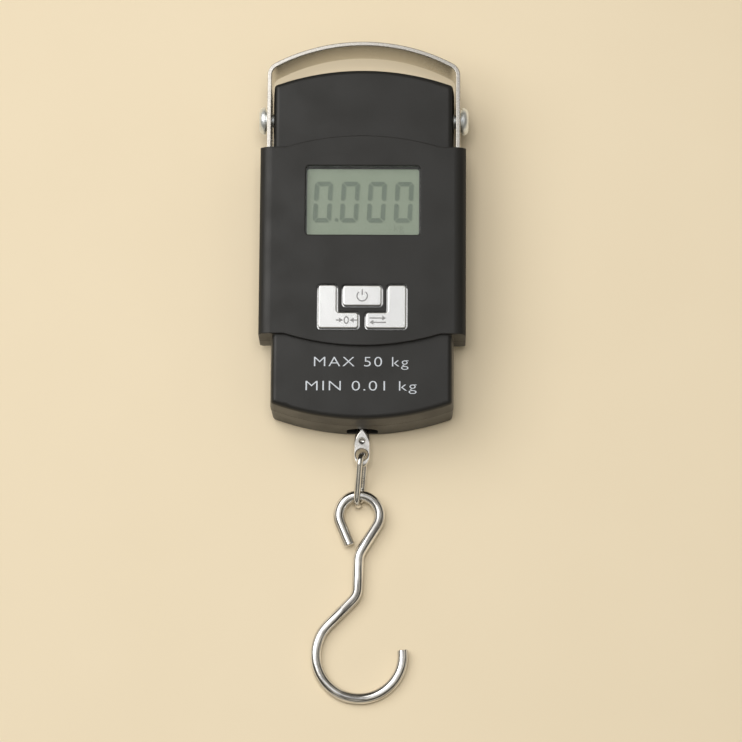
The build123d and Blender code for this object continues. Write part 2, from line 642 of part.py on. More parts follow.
# ---------------------------------------------------------------- load path
def load_yoke():
    """Steel stirrup: a base under the load cell's bolt and two arms up to the side screws."""
    profile = [
        (0, YOKE_LOW_Z),
        (ARM_BEND_Y, YOKE_LOW_Z),
        (SCREW_Y + 1, ARM_PAD_LOW_Z - 3),
        (ARM_PAD_HIGH_Y, ARM_PAD_LOW_Z),
        (ARM_PAD_HIGH_Y, ARM_PAD_HIGH_Z),
        (ARM_PAD_LOW_Y, ARM_PAD_HIGH_Z),
        (ARM_BEND_Y - 0.5, YOKE_HIGH_Z),
        (0, YOKE_HIGH_Z),
    ]
    side = make_face(Polyline(profile, close=True))
    side = fillet(side.vertices().sort_by(Axis.X)[-6:], 1.5)
    arm_plane = Plane(origin=(YOKE_HALF_WIDTH - YOKE_THICKNESS, 0, 0), x_dir=(0, 1, 0), z_dir=(1, 0, 0))
    arm = extrude(arm_plane * side, amount=YOKE_THICKNESS)
    base = block((-YOKE_HALF_WIDTH, YOKE_HALF_WIDTH), (0, YOKE_THICKNESS), (YOKE_LOW_Z, YOKE_HIGH_Z))
    yoke = both_sides(arm) + base
    yoke -= rod(BOLT_RADIUS + 0.2, (0, -1, LOAD_Z), (0, YOKE_THICKNESS + 1, LOAD_Z))
    reach = YOKE_HALF_WIDTH + 1
    yoke -= rod(SCREW_RADIUS + 0.1, (-reach, SCREW_Y, SCREW_Z), (reach, SCREW_Y, SCREW_Z))
    return yoke


def yoke_nut(side):
    """The nut that a side screw tightens against the yoke arm."""
    arm_x = YOKE_HALF_WIDTH - YOKE_THICKNESS
    start = (side * (arm_x - YOKE_NUT_HEIGHT), SCREW_Y, SCREW_Z)
    end = (side * arm_x, SCREW_Y, SCREW_Z)
    return hex_bar(YOKE_NUT_WIDTH, start, end) - rod(SCREW_RADIUS + 0.02, start, end)


def load_cell():
    """S-shaped aluminium beam: two limbs joined by a web with a double hole that bends under load."""
    depth = (LOAD_Z - CELL_BLOCK_HALF_DEPTH, LOAD_Z + CELL_BLOCK_HALF_DEPTH)
    half = CELL_BLOCK_HALF_WIDTH
    beam = block((-half, half), (BLOCK_LOW_Y, BLOCK_HIGH_Y), depth)
    beam = fillet(beam.edges().filter_by(Axis.Z), 1.0)
    beam -= block((-half - 1, SLOT_REACH), UPPER_SLOT, depth)
    beam -= block((-SLOT_REACH, half + 1), LOWER_SLOT, depth)
    web_y = (UPPER_SLOT[0] + LOWER_SLOT[1]) / 2
    for x in (-HOLE_X, HOLE_X):
        beam -= rod(HOLE_RADIUS, (x, web_y, depth[0]), (x, web_y, depth[1]))
    beam -= block((-HOLE_X, HOLE_X), (web_y - 1, web_y + 1), depth)
    beam -= rod(BOLT_RADIUS, (0, BLOCK_HIGH_Y + 1, LOAD_Z), (0, BLOCK_HIGH_Y - BOLT_REACH - 0.2, LOAD_Z))
    beam -= rod(SHANK_RADIUS + 0.06, (0, BLOCK_LOW_Y - 1, LOAD_Z), (0, LOWER_SLOT[0] + 1, LOAD_Z))
    return beam


def strain_gauges():
    """Four foil gauges on the web, over and under the double hole."""
    foils = []
    for x, y, way in GAUGES:
        skin = sorted((y, y + way * GAUGE_THICKNESS))
        foils.append(block((x - 2, x + 2), skin, (LOAD_Z - 2.5, LOAD_Z + 2.5)))
    return Compound(foils)


def yoke_bolt():
    """Socket-head bolt from the yoke's base into the load cell's upper limb."""
    top_y = YOKE_THICKNESS + BOLT_HEAD_HEIGHT
    head = rod(BOLT_HEAD_RADIUS, (0, YOKE_THICKNESS, LOAD_Z), (0, top_y, LOAD_Z))
    head -= hex_bar(4.0, (0, top_y - 2, LOAD_Z), (0, top_y + 1, LOAD_Z))
    return head + rod(BOLT_RADIUS, (0, BLOCK_HIGH_Y - BOLT_REACH, LOAD_Z), (0, YOKE_THICKNESS, LOAD_Z))


def yoke_spacer():
    """Ring that holds the load cell off the yoke's base."""
    start = (0, BLOCK_HIGH_Y, LOAD_Z)
    end = (0, 0, LOAD_Z)
    return rod(BOLT_RADIUS + 1.5, start, end) - rod(BOLT_RADIUS + 0.1, start, end)


def swivel_nut():
    """Nut on the eye's shank, inside the load cell's lower slot."""
    start = (0, SWIVEL_WASHER_Y + SWIVEL_WASHER_HEIGHT, LOAD_Z)
    end = (0, SWIVEL_WASHER_Y + SWIVEL_WASHER_HEIGHT + SWIVEL_NUT_HEIGHT, LOAD_Z)
    return hex_bar(SWIVEL_NUT_WIDTH, start, end) - rod(SHANK_RADIUS + 0.02, start, end)


def swivel_washer():
    """Washer under the swivel nut."""
    start = (0, SWIVEL_WASHER_Y, LOAD_Z)
    end = (0, SWIVEL_WASHER_Y + SWIVEL_WASHER_HEIGHT, LOAD_Z)
    return rod(SWIVEL_WASHER_RADIUS, start, end) - rod(SHANK_RADIUS + 0.1, start, end)


def hook_eye():
    """Swivelling eye: a shank held by the load cell, a neck through the notch, and a flattened lug."""
    shank = rod(SHANK_RADIUS, (0, SHANK_TIP_Y, LOAD_Z), (0, SHOULDER_Y, LOAD_Z))
    neck = rod(NECK_RADIUS, (0, SHOULDER_Y, LOAD_Z), (0, EYE_NECK_END_Y, LOAD_Z))
    round_y = EYE_END_Y + EYE_HALF_WIDTH
    edges = [
        Line((NECK_RADIUS, EYE_NECK_END_Y), (EYE_HALF_WIDTH, EYE_FLAT_Y)),
        Line((EYE_HALF_WIDTH, EYE_FLAT_Y), (EYE_HALF_WIDTH, round_y)),
        ThreePointArc((EYE_HALF_WIDTH, round_y), (0, EYE_END_Y), (-EYE_HALF_WIDTH, round_y)),
        Line((-EYE_HALF_WIDTH, round_y), (-EYE_HALF_WIDTH, EYE_FLAT_Y)),
        Line((-EYE_HALF_WIDTH, EYE_FLAT_Y), (-NECK_RADIUS, EYE_NECK_END_Y)),
        Line((-NECK_RADIUS, EYE_NECK_END_Y), (NECK_RADIUS, EYE_NECK_END_Y)),
    ]
    plan = slab(make_face(edges), LOAD_Z - 4, LOAD_Z + 4)
    side_points = [
        (EYE_NECK_END_Y, NECK_RADIUS),
        (EYE_FLAT_Y, EYE_HALF_THICKNESS),
        (EYE_END_Y - 1, EYE_HALF_THICKNESS),
        (EYE_END_Y - 1, -EYE_HALF_THICKNESS),
        (EYE_FLAT_Y, -EYE_HALF_THICKNESS),
        (EYE_NECK_END_Y, -NECK_RADIUS),
    ]
    side = make_face(Polyline(side_points, close=True))
    side_plane = Plane(origin=(0, 0, LOAD_Z), x_dir=(0, 1, 0), z_dir=(1, 0, 0))
    lug = plan & extrude(side_plane * side, amount=EYE_HALF_WIDTH + 1, both=True)
    round_off = loft([
        Plane(origin=(0, EYE_NECK_END_Y, LOAD_Z), z_dir=(0, -1, 0)) * Circle(NECK_RADIUS),
        Plane(origin=(0, EYE_FLAT_Y - 2.5, LOAD_Z), z_dir=(0, -1, 0)) * Circle(EYE_HALF_WIDTH + 0.6),
    ])
    lower = block((-4, 4), (EYE_END_Y - 1, EYE_FLAT_Y - 2.5), (LOAD_Z - 4, LOAD_Z + 4))
    lug = lug & (round_off + lower)
    lug -= rod(EYE_HOLE_RADIUS, (0, EYE_HOLE_Y, 0), (0, EYE_HOLE_Y, 16))
    return shank + neck + lug


def side_screw(side):
    """Button-head screw through a bail slot, the case wall and a yoke arm."""
    top_x = WASHER_OUTER_X + SCREW_HEAD_HEIGHT
    head = rod(SCREW_HEAD_RADIUS, (WASHER_OUTER_X, SCREW_Y, SCREW_Z), (top_x, SCREW_Y, SCREW_Z))
    head = fillet(head.edges().sort_by(Axis.X)[-1], SCREW_HEAD_HEIGHT - 0.3)
    head -= hex_bar(3.0, (top_x - 1.6, SCREW_Y, SCREW_Z), (top_x + 1, SCREW_Y, SCREW_Z))
    screw = head + rod(SCREW_RADIUS, (SCREW_TIP_X, SCREW_Y, SCREW_Z), (WASHER_OUTER_X, SCREW_Y, SCREW_Z))
    return screw if side > 0 else mirror(screw, Plane.YZ)


def side_washer(side):
    """Washer between the screw head and the bail strap."""
    start = (side * WASHER_INNER_X, SCREW_Y, SCREW_Z)
    end = (side * WASHER_OUTER_X, SCREW_Y, SCREW_Z)
    return rod(WASHER_RADIUS, start, end) - rod(SCREW_RADIUS + 0.05, start, end)


def bail_outline(inset, tail_y):
    """The bail's outline seen from the front, pulled in by an inset."""
    half = BAIL_HALF_WIDTH - inset
    radius = BAIL_ARCH_RADIUS - inset
    centre_y = BAIL_CREST_Y - BAIL_ARCH_RADIUS
    shoulder_y = centre_y + math.sqrt(radius**2 - half**2)
    edges = [
        Line((half, tail_y), (half, shoulder_y)),
        ThreePointArc((half, shoulder_y), (0, centre_y + radius), (-half, shoulder_y)),
        Line((-half, shoulder_y), (-half, tail_y)),
        Line((-half, tail_y), (half, tail_y)),
    ]
    outline = make_face(edges)
    return fillet(outline.vertices().sort_by(Axis.Y)[-2:], BAIL_SHOULDER_RADIUS - inset)


def bail():
    """Bent steel strap with a long slot in each leg for the side screws."""
    strap_face = bail_outline(0, BAIL_TAIL_Y) - bail_outline(STRAP_THICKNESS, BAIL_TAIL_Y - 1)
    strap = slab(strap_face, STRAP_LOW_Z, STRAP_HIGH_Z)
    rims = strap.faces().sort_by(Axis.Z)[0].edges() + strap.faces().sort_by(Axis.Z)[-1].edges()
    strap = fillet(rims, 0.3)
    high_y = SCREW_Y + 0.15
    low_y = SCREW_Y - BAIL_TRAVEL - 0.15
    slot_z = (SCREW_Z - SCREW_SLOT_RADIUS, SCREW_Z + SCREW_SLOT_RADIUS)
    strap -= block((-40, 40), (low_y, high_y), slot_z)
    for y in (low_y, high_y):
        strap -= rod(SCREW_SLOT_RADIUS, (-40, y, SCREW_Z), (40, y, SCREW_Z))
    return strap


# ---------------------------------------------------------------- link and hook
def link_plane():
    """The link's own plane: X along the link, Z along the axis that it swings about."""
    along = (LINK_BOTTOM - LINK_TOP).normalized()
    level = Vector(1, 0, 0)
    normal = (level - along * level.dot(along)).normalized().rotate(Axis((0, 0, 0), along), LINK_ROLL)
    return Plane(origin=LINK_TOP, x_dir=along, z_dir=normal)


def chain_link():
    """Closed wire ring with two straight sides, standing nearly upright between eye and hook."""
    length = (LINK_BOTTOM - LINK_TOP).length
    r = LINK_END_RADIUS
    ring = Wire([
        Line((0, r), (length, r)),
        ThreePointArc((length, r), (length + r, 0), (length, -r)),
        Line((length, -r), (0, -r)),
        ThreePointArc((0, -r), (-r, 0), (0, r)),
    ])
    path = link_plane() * ring
    return sweep(Plane(origin=path @ 0, z_dir=path % 0) * Circle(LINK_WIRE_RADIUS), path=path)


def tangent_angle(point, centre, radius, side):
    """The angle, seen from a circle's centre, at which a line from an outside point touches it."""
    away = math.atan2(point[1] - centre[1], point[0] - centre[0])
    return away + side * math.acos(radius / math.dist(point, centre))


def on_circle(centre, radius, angle):
    """A point on a circle."""
    return (centre[0] + radius * math.cos(angle), centre[1] + radius * math.sin(angle))


def hook_plane():
    """The hook's own plane, which slopes from the raised loop down to the bowl on the ground."""
    origin = (HOOK_LOOP_CENTRE[0], HOOK_LOOP_CENTRE[1], HOOK_LOOP_Z)
    return Plane(origin=origin, x_dir=(1, 0, 0), z_dir=(0, -math.sin(HOOK_PITCH), math.cos(HOOK_PITCH)))


def hook():
    """One bent wire: cut end, loop, crossing to the shank, diagonal and open bowl."""
    loop, bowl = HOOK_LOOP_CENTRE, HOOK_BOWL_CENTRE
    full = 2 * math.pi
    left = tangent_angle(HOOK_CUT_END, loop, HOOK_LOOP_RADIUS, -1) + full
    right = tangent_angle(HOOK_NECK_CORNER, loop, HOOK_LOOP_RADIUS, 1)
    entry = tangent_angle(HOOK_SHANK_CORNER, bowl, HOOK_BOWL_RADIUS, 1)
    tip = math.radians(HOOK_TIP_ANGLE) + full
    loop_points = [on_circle(loop, HOOK_LOOP_RADIUS, angle) for angle in (left, (left + right) / 2, right)]
    bowl_points = [on_circle(bowl, HOOK_BOWL_RADIUS, angle) for angle in (entry, (entry + tip) / 2, tip)]
    shank_points = [loop_points[-1], HOOK_NECK_CORNER, HOOK_SHANK_CORNER, bowl_points[0]]
    route = Wire([
        Line(HOOK_CUT_END, loop_points[0]),
        ThreePointArc(*loop_points),
        *FilletPolyline(*shank_points, radius=[HOOK_NECK_BEND, HOOK_SHANK_BEND]).edges(),
        ThreePointArc(*bowl_points),
    ])
    path = hook_plane() * Pos(-loop[0], -loop[1]) * route
    wire = sweep(Plane(origin=path @ 0, z_dir=path % 0) * Circle(HOOK_WIRE_RADIUS), path=path)
    return chamfer(wire.faces().filter_by(GeomType.PLANE).edges(), 0.25)


# ---------------------------------------------------------------- assembly
PARTS = {
    "front_shell": front_shell(),
    "rear_shell": rear_shell(),
    "battery_door": battery_door(),
    "case_screws": case_screws(),
    "rear_label": rear_label(),
    "lcd_window": lcd_window(),
    "lcd_panel": lcd_panel(),
    "lcd_frame": lcd_frame(),
    "zebra_strips": zebra_strips(),
    "lcd_reflector": lcd_reflector(),
    "main_board": main_board(),
    "board_screws": board_screws(),
    "chip_blob": chip_blob(),
    "capacitors": capacitors(),
    "crystal": crystal(),
    "battery_cell_lower": battery_cell(0),
    "battery_cell_upper": battery_cell(1),
    "contact_springs": contact_springs(),
    "contact_plates": contact_plates(),
    "battery_lead_red": battery_lead(0),
    "battery_lead_black": battery_lead(1),
    "gauge_leads": gauge_leads(),
    "load_yoke": load_yoke(),
    "load_cell": load_cell(),
    "strain_gauges": strain_gauges(),
    "yoke_bolt": yoke_bolt(),
    "yoke_spacer": yoke_spacer(),
    "swivel_nut": swivel_nut(),
    "swivel_washer": swivel_washer(),
    "hook_eye": hook_eye(),
    "chain_link": chain_link(),
    "hook": hook(),
    "bail": bail(),
}
for name, side in KEYS.items():
    PARTS[f"{name}_key"] = key(side)
    PARTS[f"{name}_switch"] = switch(KEY_CENTRES[name])
    PARTS[f"{name}_plunger"] = plunger(KEY_CENTRES[name])
for name, side in {"left": -1, "right": 1}.items():
    PARTS[f"side_screw_{name}"] = side_screw(side)
    PARTS[f"side_washer_{name}"] = side_washer(side)
    PARTS[f"yoke_nut_{name}"] = yoke_nut(side)

os.makedirs("parts", exist_ok=True)
for name, solid in PARTS.items():
    export_step(solid, f"parts/{name}.step")

print("link swing axis", tuple(link_plane().z_dir))
print("link bottom", tuple(LINK_BOTTOM))
print("hook swing axis", tuple(hook_plane().z_dir))
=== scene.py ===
import json
import math

import bmesh
import bpy
from mathutils import Matrix, Vector


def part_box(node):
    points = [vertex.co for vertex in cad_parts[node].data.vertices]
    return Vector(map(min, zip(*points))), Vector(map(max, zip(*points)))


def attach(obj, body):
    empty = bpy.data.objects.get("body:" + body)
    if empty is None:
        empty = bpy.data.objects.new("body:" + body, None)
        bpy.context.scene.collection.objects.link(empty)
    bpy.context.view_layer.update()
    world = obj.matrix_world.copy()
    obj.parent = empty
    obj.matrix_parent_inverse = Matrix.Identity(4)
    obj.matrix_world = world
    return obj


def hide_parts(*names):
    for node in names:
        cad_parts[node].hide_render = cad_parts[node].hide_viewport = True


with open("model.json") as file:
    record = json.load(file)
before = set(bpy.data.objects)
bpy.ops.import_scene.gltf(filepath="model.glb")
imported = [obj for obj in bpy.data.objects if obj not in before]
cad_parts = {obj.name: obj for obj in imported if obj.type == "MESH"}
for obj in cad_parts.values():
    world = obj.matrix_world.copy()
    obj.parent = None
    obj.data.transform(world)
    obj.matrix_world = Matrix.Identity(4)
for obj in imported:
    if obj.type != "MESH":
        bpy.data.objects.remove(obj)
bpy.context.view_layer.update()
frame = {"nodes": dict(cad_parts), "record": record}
nodes = frame["nodes"]
MM = 0.001

# Camera: a long lens above the scale, aimed at the middle of its length; lens and sensor in millimetres.
CAMERA_TARGET = Vector((2.95, -41.7, 13.0)) * MM
CAMERA_DISTANCE = 1358.3 * MM
CAMERA_ELEVATION = math.radians(77.17)
CAMERA_AZIMUTH = math.radians(-3.22)
CAMERA_ROLL = math.radians(-2.91)
CAMERA_LENS = 194.07
CAMERA_SENSOR = 36.0

# Square lamps: places and sides in metres, power in watts.
LAMP_COLOUR = (1.0, 0.985, 0.955)
LAMP_AIM = (0, -0.04, 0)
KEY_LIGHT_PLACE = (-0.60, 0.28, 1.0)
KEY_LIGHT_SIZE = 1.0
KEY_LIGHT_POWER = 7.5
TOP_LIGHT_PLACE = (-0.02, -0.04, 1.2)
TOP_LIGHT_SIZE = 0.35
TOP_LIGHT_POWER = 5.4

# Brightness of the room by the sine of the height above the horizon, and the tint of its walls
# and of its ceiling, which starts at CEILING_EDGE.
CEILING_EDGE = 0.95
WALL_TINT = (1.0, 0.94, 0.80)
CEILING_TINT = (1.0, 0.99, 0.97)
SKY_BANDS = [
    (0.0, 0.60),
    (0.22, 0.60),
    (0.29, 0.04),
    (0.50, 0.04),
    (0.55, 0.38),
    (0.62, 0.38),
    (0.66, 0.08),
    (0.74, 0.08),
    (0.79, 0.62),
    (0.875, 0.62),
    (0.905, 0.12),
    (0.93, 0.12),
    (0.965, 0.90),
    (1.0, 0.90),
]

# Floor sheet, in metres.
FLOOR_HALF_SIZE = 3
FLOOR_TOP = -0.02 * MM
FLOOR_THICKNESS = 4.98 * MM

# Heights of the faces that carry figures, print and signs, in metres.
PANEL_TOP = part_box("lcd_panel")[1].z
LOWER_FACE = 26.0 * MM
KEY_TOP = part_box("power_key")[1].z

# Display, in metres: its middle, its figures, and the black surround's two outlines (a printed border that is
# also painted shade, widest at the top where the bezel's shadow falls), each as half width, reach below and
# above the middle, and corner radius.
DISPLAY_CENTRE = (0.0, 14.5 * MM)
DIGIT_COUNT = 4
DIGIT_FIRST_LEFT = -16.35 * MM
DIGIT_PITCH = 9.15 * MM
DIGIT_WIDTH = 6.15 * MM
DIGIT_LOW_Y = 7.3 * MM
DIGIT_HEIGHT = 14.3 * MM
DIGIT_SLANT = math.radians(3.0)
SEGMENT_THICKNESS = 1.5 * MM
SEGMENT_CHAMFER = 1.0 * MM
SEGMENT_GAP = 0.16 * MM
POINT_CENTRE = (-9.0 * MM, 8.2 * MM)
POINT_RADIUS = 0.62 * MM
FIGURE_SHADOW_SHIFT = 0.3 * MM
INK_THICKNESS = 0.03 * MM
PANEL_GAP = 0.01 * MM
UNIT_WIDTH = 3.3 * MM
UNIT_FOOT = (12.2 * MM, 4.3 * MM)
SURROUND_OUTER = (20.4 * MM, 13.0 * MM, 13.0 * MM, 1.6 * MM)
# The inner outline reaches less far above the middle; the wider top band is painted shade from the bezel.
SURROUND_INNER = (19.0 * MM, 11.8 * MM, 11.5 * MM, 0.9 * MM)

# Print, in metres: each line's piece name, words, width and foot; the thinning is a share of a letter.
PRINT_CENTRE_X = -0.2 * MM
PRINT_HEIGHT = 3.4 * MM
PRINT_THINNING = -0.012
CAPITAL_SHARE = 0.7
LETTER_SPACING = 1.15
PRINT_LINES = [
    ("capacity_print", "MAX 50 kg", 31.8 * MM, -43.1 * MM),
    ("minimum_print", "MIN 0.01 kg", 37.3 * MM, -51.4 * MM),
]

# Key signs, in metres: lines, how far they sit in and above the key, and the signs' own sizes.
SIGN_LINE = 0.42 * MM
SIGN_SUNK = 0.02 * MM
SIGN_PROUD = 0.05 * MM
POWER_RING_RADIUS = 1.75 * MM
POWER_RING_DROP = 0.2 * MM
POWER_BAR = (0.1 * MM, 2.1 * MM)
SIGN_X = 5.3 * MM
SIGN_Y = -27.6 * MM
NOUGHT_RADII = (0.72 * MM, 1.15 * MM)
ZERO_ARROW_REACH = (3.6 * MM, 1.15 * MM)
CHANGE_ARROW_HALF = 2.8 * MM
CHANGE_ARROW_RISE = 0.75 * MM
ARROW_HEAD_LENGTH = 3.2
ARROW_HEAD_HALF_WIDTH = 2.0

# Chain link, in metres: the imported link's bend centres, wire radius, bend radius and roll about its
# length. The weld's swelling and notch are each a share of the wire's radius and a reach along it.
LINK_TOP = Vector((0.0, -73.0, 8.0)) * MM
LINK_BOTTOM = Vector((-0.8, -83.15, 4.0)) * MM
LINK_ROLL = math.radians(15.0)
LINK_ALONG = (LINK_BOTTOM - LINK_TOP).normalized()
LINK_UNROLLED = (Vector((1, 0, 0)) - LINK_ALONG * LINK_ALONG.x).normalized()
LINK_NORMAL = Matrix.Rotation(LINK_ROLL, 3, LINK_ALONG) @ LINK_UNROLLED
LINK_WIRE = 1.05 * MM
LINK_BEND = 3.2 * MM
LINK_TURN_STEPS = 24
LINK_STRAIGHT_STEPS = 32
WELD_SWELL = (0.10, 0.75 * MM)
WELD_NOTCH = (0.14, 0.2 * MM)

# Forged eye, in millimetres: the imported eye's shank, neck, hole and outer size.
EYE_AXIS_Z = 8.0
EYE_TIP_Y = -22.6
EYE_SHOULDER_Y = -33.3
EYE_NECK_Y = -62.0
EYE_FLAT_Y = -66.0
EYE_HOLE_Y = -69.9
EYE_END_Y = -74.1
EYE_SHANK = 2.0
EYE_NECK = 2.2
EYE_HALF_WIDTH = 2.85
EYE_HALF_THICKNESS = 1.3
EYE_HOLE_RADIUS = 2.0
EYE_RIM_START = 0.5
EYE_RIM_ROLL = 0.45
HOLE_OVERCUT = 1.04
EYE_DIMPLE_Y = -65.4
EYE_DIMPLE_RADIUS = 1.6
EYE_DIMPLE_DEPTH = 0.45
EYE_SHARP_ANGLE = math.radians(28)
EYE_SIDES = 72
EYE_STEPS = 20
SHOULDER_HALF_LENGTH = 0.01
HOLE_STEPS = 16
DIMPLE_STEPS = 24


# ---------------------------------------------------------------- camera and lights
def make_camera():
    """The main camera, tipped a little towards the hook end."""
    back = Vector((
        -math.sin(CAMERA_AZIMUTH) * math.cos(CAMERA_ELEVATION),
        -math.cos(CAMERA_AZIMUTH) * math.cos(CAMERA_ELEVATION),
        math.sin(CAMERA_ELEVATION),
    ))
    data = bpy.data.cameras.new("camera")
    data.sensor_width = CAMERA_SENSOR
    data.lens = CAMERA_LENS
    data.clip_start = 0.05
    data.clip_end = 20.0
    camera = bpy.data.objects.new("camera", data)
    camera.rotation_mode = "QUATERNION"
    camera.location = CAMERA_TARGET + back * CAMERA_DISTANCE
    turn = (-back).to_track_quat("-Z", "Y").to_matrix().to_4x4() @ Matrix.Rotation(CAMERA_ROLL, 4, "Z")
    camera.rotation_quaternion = turn.to_quaternion()
    bpy.context.scene.collection.objects.link(camera)
    bpy.context.scene.camera = camera


def add_area_light(name, place, size, power, mirrored):
    """A soft square light that points at the scale; glossy things mirror it or they don't."""
    data = bpy.data.lights.new(name, "AREA")
    data.shape = "SQUARE"
    data.size = size
    data.energy = power
    data.color = LAMP_COLOUR
    light = bpy.data.objects.new(name, data)
    light.location = place
    light.rotation_mode = "QUATERNION"
    light.rotation_quaternion = (Vector(LAMP_AIM) - Vector(place)).to_track_quat("-Z", "Y")
    light.visible_glossy = mirrored
    bpy.context.scene.collection.objects.link(light)


def make_lights():
    """A soft box at the upper left, a smaller one overhead, and a room of light and dark bands."""
    add_area_light("key_light", KEY_LIGHT_PLACE, KEY_LIGHT_SIZE, KEY_LIGHT_POWER, True)
    add_area_light("top_light", TOP_LIGHT_PLACE, TOP_LIGHT_SIZE, TOP_LIGHT_POWER, False)
    world = bpy.data.worlds.new("studio")
    world.use_nodes = True
    tree = world.node_tree
    coordinates = tree.nodes.new("ShaderNodeTexCoord")
    height = tree.nodes.new("ShaderNodeSeparateXYZ")
    sky = tree.nodes.new("ShaderNodeValToRGB")
    sky.color_ramp.elements.remove(sky.color_ramp.elements[1])
    for position, level in SKY_BANDS:
        stop = sky.color_ramp.elements.new(position)
        tint = CEILING_TINT if position > CEILING_EDGE else WALL_TINT
        stop.color = (*[level * share for share in tint], 1.0)
    sky.color_ramp.elements.remove(sky.color_ramp.elements[0])
    tree.links.new(coordinates.outputs["Generated"], height.inputs["Vector"])
    tree.links.new(height.outputs["Z"], sky.inputs["Fac"])
    tree.links.new(sky.outputs["Color"], tree.nodes["Background"].inputs["Color"])
    tree.nodes["Background"].inputs["Strength"].default_value = 1.0
    bpy.context.scene.world = world
    bpy.context.scene.view_settings.view_transform = "Standard"


# ---------------------------------------------------------------- building blocks for materials
def new_material(name, colour, metallic=0.0, roughness=0.5):
    """A material with the given constants; returns it with its node tree and shader."""
    material = bpy.data.materials.new(name)
    material.use_nodes = True
    shader = material.node_tree.nodes["Principled BSDF"]
    shader.inputs["Base Color"].default_value = (*colour, 1.0)
    shader.inputs["Metallic"].default_value = metallic
    shader.inputs["Roughness"].default_value = roughness
    return material, material.node_tree, shader


def noise(tree, size, detail=2.0, stretch=(1.0, 1.0, 1.0)):
    """Noise over the piece's own coordinates, whose lumps are about size metres across."""
    coordinates = tree.nodes.new("ShaderNodeTexCoord")
    mapping = tree.nodes.new("ShaderNodeMapping")
    mapping.inputs["Scale"].default_value = [1.0 / (size * share) for share in stretch]
    texture = tree.nodes.new("ShaderNodeTexNoise")
    texture.inputs["Scale"].default_value = 1.0
    texture.inputs["Detail"].default_value = detail
    tree.links.new(coordinates.outputs["Object"], mapping.inputs["Vector"])
    tree.links.new(mapping.outputs["Vector"], texture.inputs["Vector"])
    return texture.outputs["Fac"]


def round_edges(tree, radius):
    """The normal of the surface with its edges eased to a radius in metres."""
    rounded = tree.nodes.new("ShaderNodeBevel")
    rounded.samples = 6
    rounded.inputs["Radius"].default_value = radius
    return rounded.outputs["Normal"]


def edges(tree, rounded):
    """A mask that is high along edges, where a rounded normal leaves the flat one."""
    flat = tree.nodes.new("ShaderNodeNewGeometry")
    agreement = tree.nodes.new("ShaderNodeVectorMath")
    agreement.operation = "DOT_PRODUCT"
    tree.links.new(rounded, agreement.inputs[0])
    tree.links.new(flat.outputs["Normal"], agreement.inputs[1])
    return value_between(tree, agreement.outputs["Value"], 0.0, 1.0, 0.995, 0.90)


def value_between(tree, factor, low, high, start=0.35, stop=0.65):
    """A value that runs from low to high while the factor runs from start to stop."""
    span = tree.nodes.new("ShaderNodeMapRange")
    span.inputs["From Min"].default_value = start
    span.inputs["From Max"].default_value = stop
    span.inputs["To Min"].default_value = low
    span.inputs["To Max"].default_value = high
    tree.links.new(factor, span.inputs["Value"])
    return span.outputs["Result"]


def colour_between(tree, factor, low, high, start=0.35, stop=0.65):
    """A colour that runs from low to high while the factor runs from start to stop."""
    ramp = tree.nodes.new("ShaderNodeValToRGB")
    for element, position, colour in zip(ramp.color_ramp.elements, (start, stop), (low, high)):
        element.position = position
        element.color = (*colour, 1.0)
    tree.links.new(factor, ramp.inputs["Fac"])
    return ramp.outputs["Color"]


def product(tree, first, second):
    """Two factors multiplied."""
    times = tree.nodes.new("ShaderNodeMath")
    times.operation = "MULTIPLY"
    tree.links.new(first, times.inputs[0])
    tree.links.new(second, times.inputs[1])
    return times.outputs["Value"]


def add_bump(tree, shader, height, depth, strength=1.0):
    """Relief of a real depth in metres; relief added earlier stays under it."""
    bump = tree.nodes.new("ShaderNodeBump")
    bump.inputs["Strength"].default_value = strength
    bump.inputs["Distance"].default_value = depth
    tree.links.new(height, bump.inputs["Height"])
    if shader.inputs["Normal"].links:
        tree.links.new(shader.inputs["Normal"].links[0].from_socket, bump.inputs["Normal"])
    tree.links.new(bump.outputs["Normal"], shader.inputs["Normal"])


# ---------------------------------------------------------------- materials
# Sizes of surface texture, in metres; a depth is the height of the relief.
CASE_EDGE_RADIUS = 0.6 * MM
CASE_SMUDGE_SIZE = 14 * MM
CASE_WEAR_SIZE = 1.5 * MM
SPARK_SIZE = 0.22 * MM
SPARK_DEPTH = 0.012 * MM
PLATING_PATCH_SIZE = 5 * MM
PLATING_WAVE_SIZE = 3 * MM
PLATING_WAVE_DEPTH = 0.02 * MM
SCRATCH_DEPTH = 0.004 * MM
# Along the hook wire: drawn lines in relief, and colour bands that paint reflection.
STREAK_LENGTH = 14 * MM
STREAKS_ROUND_WIRE = 6.0
STREAK_DEPTH = 0.09 * MM
WIRE_GRAIN = 0.4 * MM
HAIRLINE_WIDTH = 0.6 * MM
HAIRLINE_STRETCH = (1.0, 9.0, 1.0)
CELL_HALF_LENGTH = 24 * MM
SLEEVE_CREASE_SIZE = 1.2 * MM
STRAP_GRAIN = 0.5 * MM
STRAP_GRAIN_STRETCH = (1.0, 1.0, 0.15)
STRAP_WAVE_SIZE = 6 * MM


def spark_plastic(name, colour, worn, roughness=(0.38, 0.5)):
    """Moulded plastic with a fine spark texture, soft smudges and paler handled edges."""
    material, tree, shader = new_material(name, colour)
    smudge = noise(tree, CASE_SMUDGE_SIZE, 4.0)
    rounded = round_edges(tree, CASE_EDGE_RADIUS)
    tree.links.new(rounded, shader.inputs["Normal"])
    wear = value_between(tree, noise(tree, CASE_WEAR_SIZE, 3.0), 0.2, 1.0)
    edge = product(tree, edges(tree, rounded), wear)
    tree.links.new(colour_between(tree, edge, colour, worn, 0.0, 1.0), shader.inputs["Base Color"])
    tree.links.new(value_between(tree, smudge, *roughness), shader.inputs["Roughness"])
    add_bump(tree, shader, noise(tree, SPARK_SIZE, 1.0), SPARK_DEPTH, 0.6)
    return material


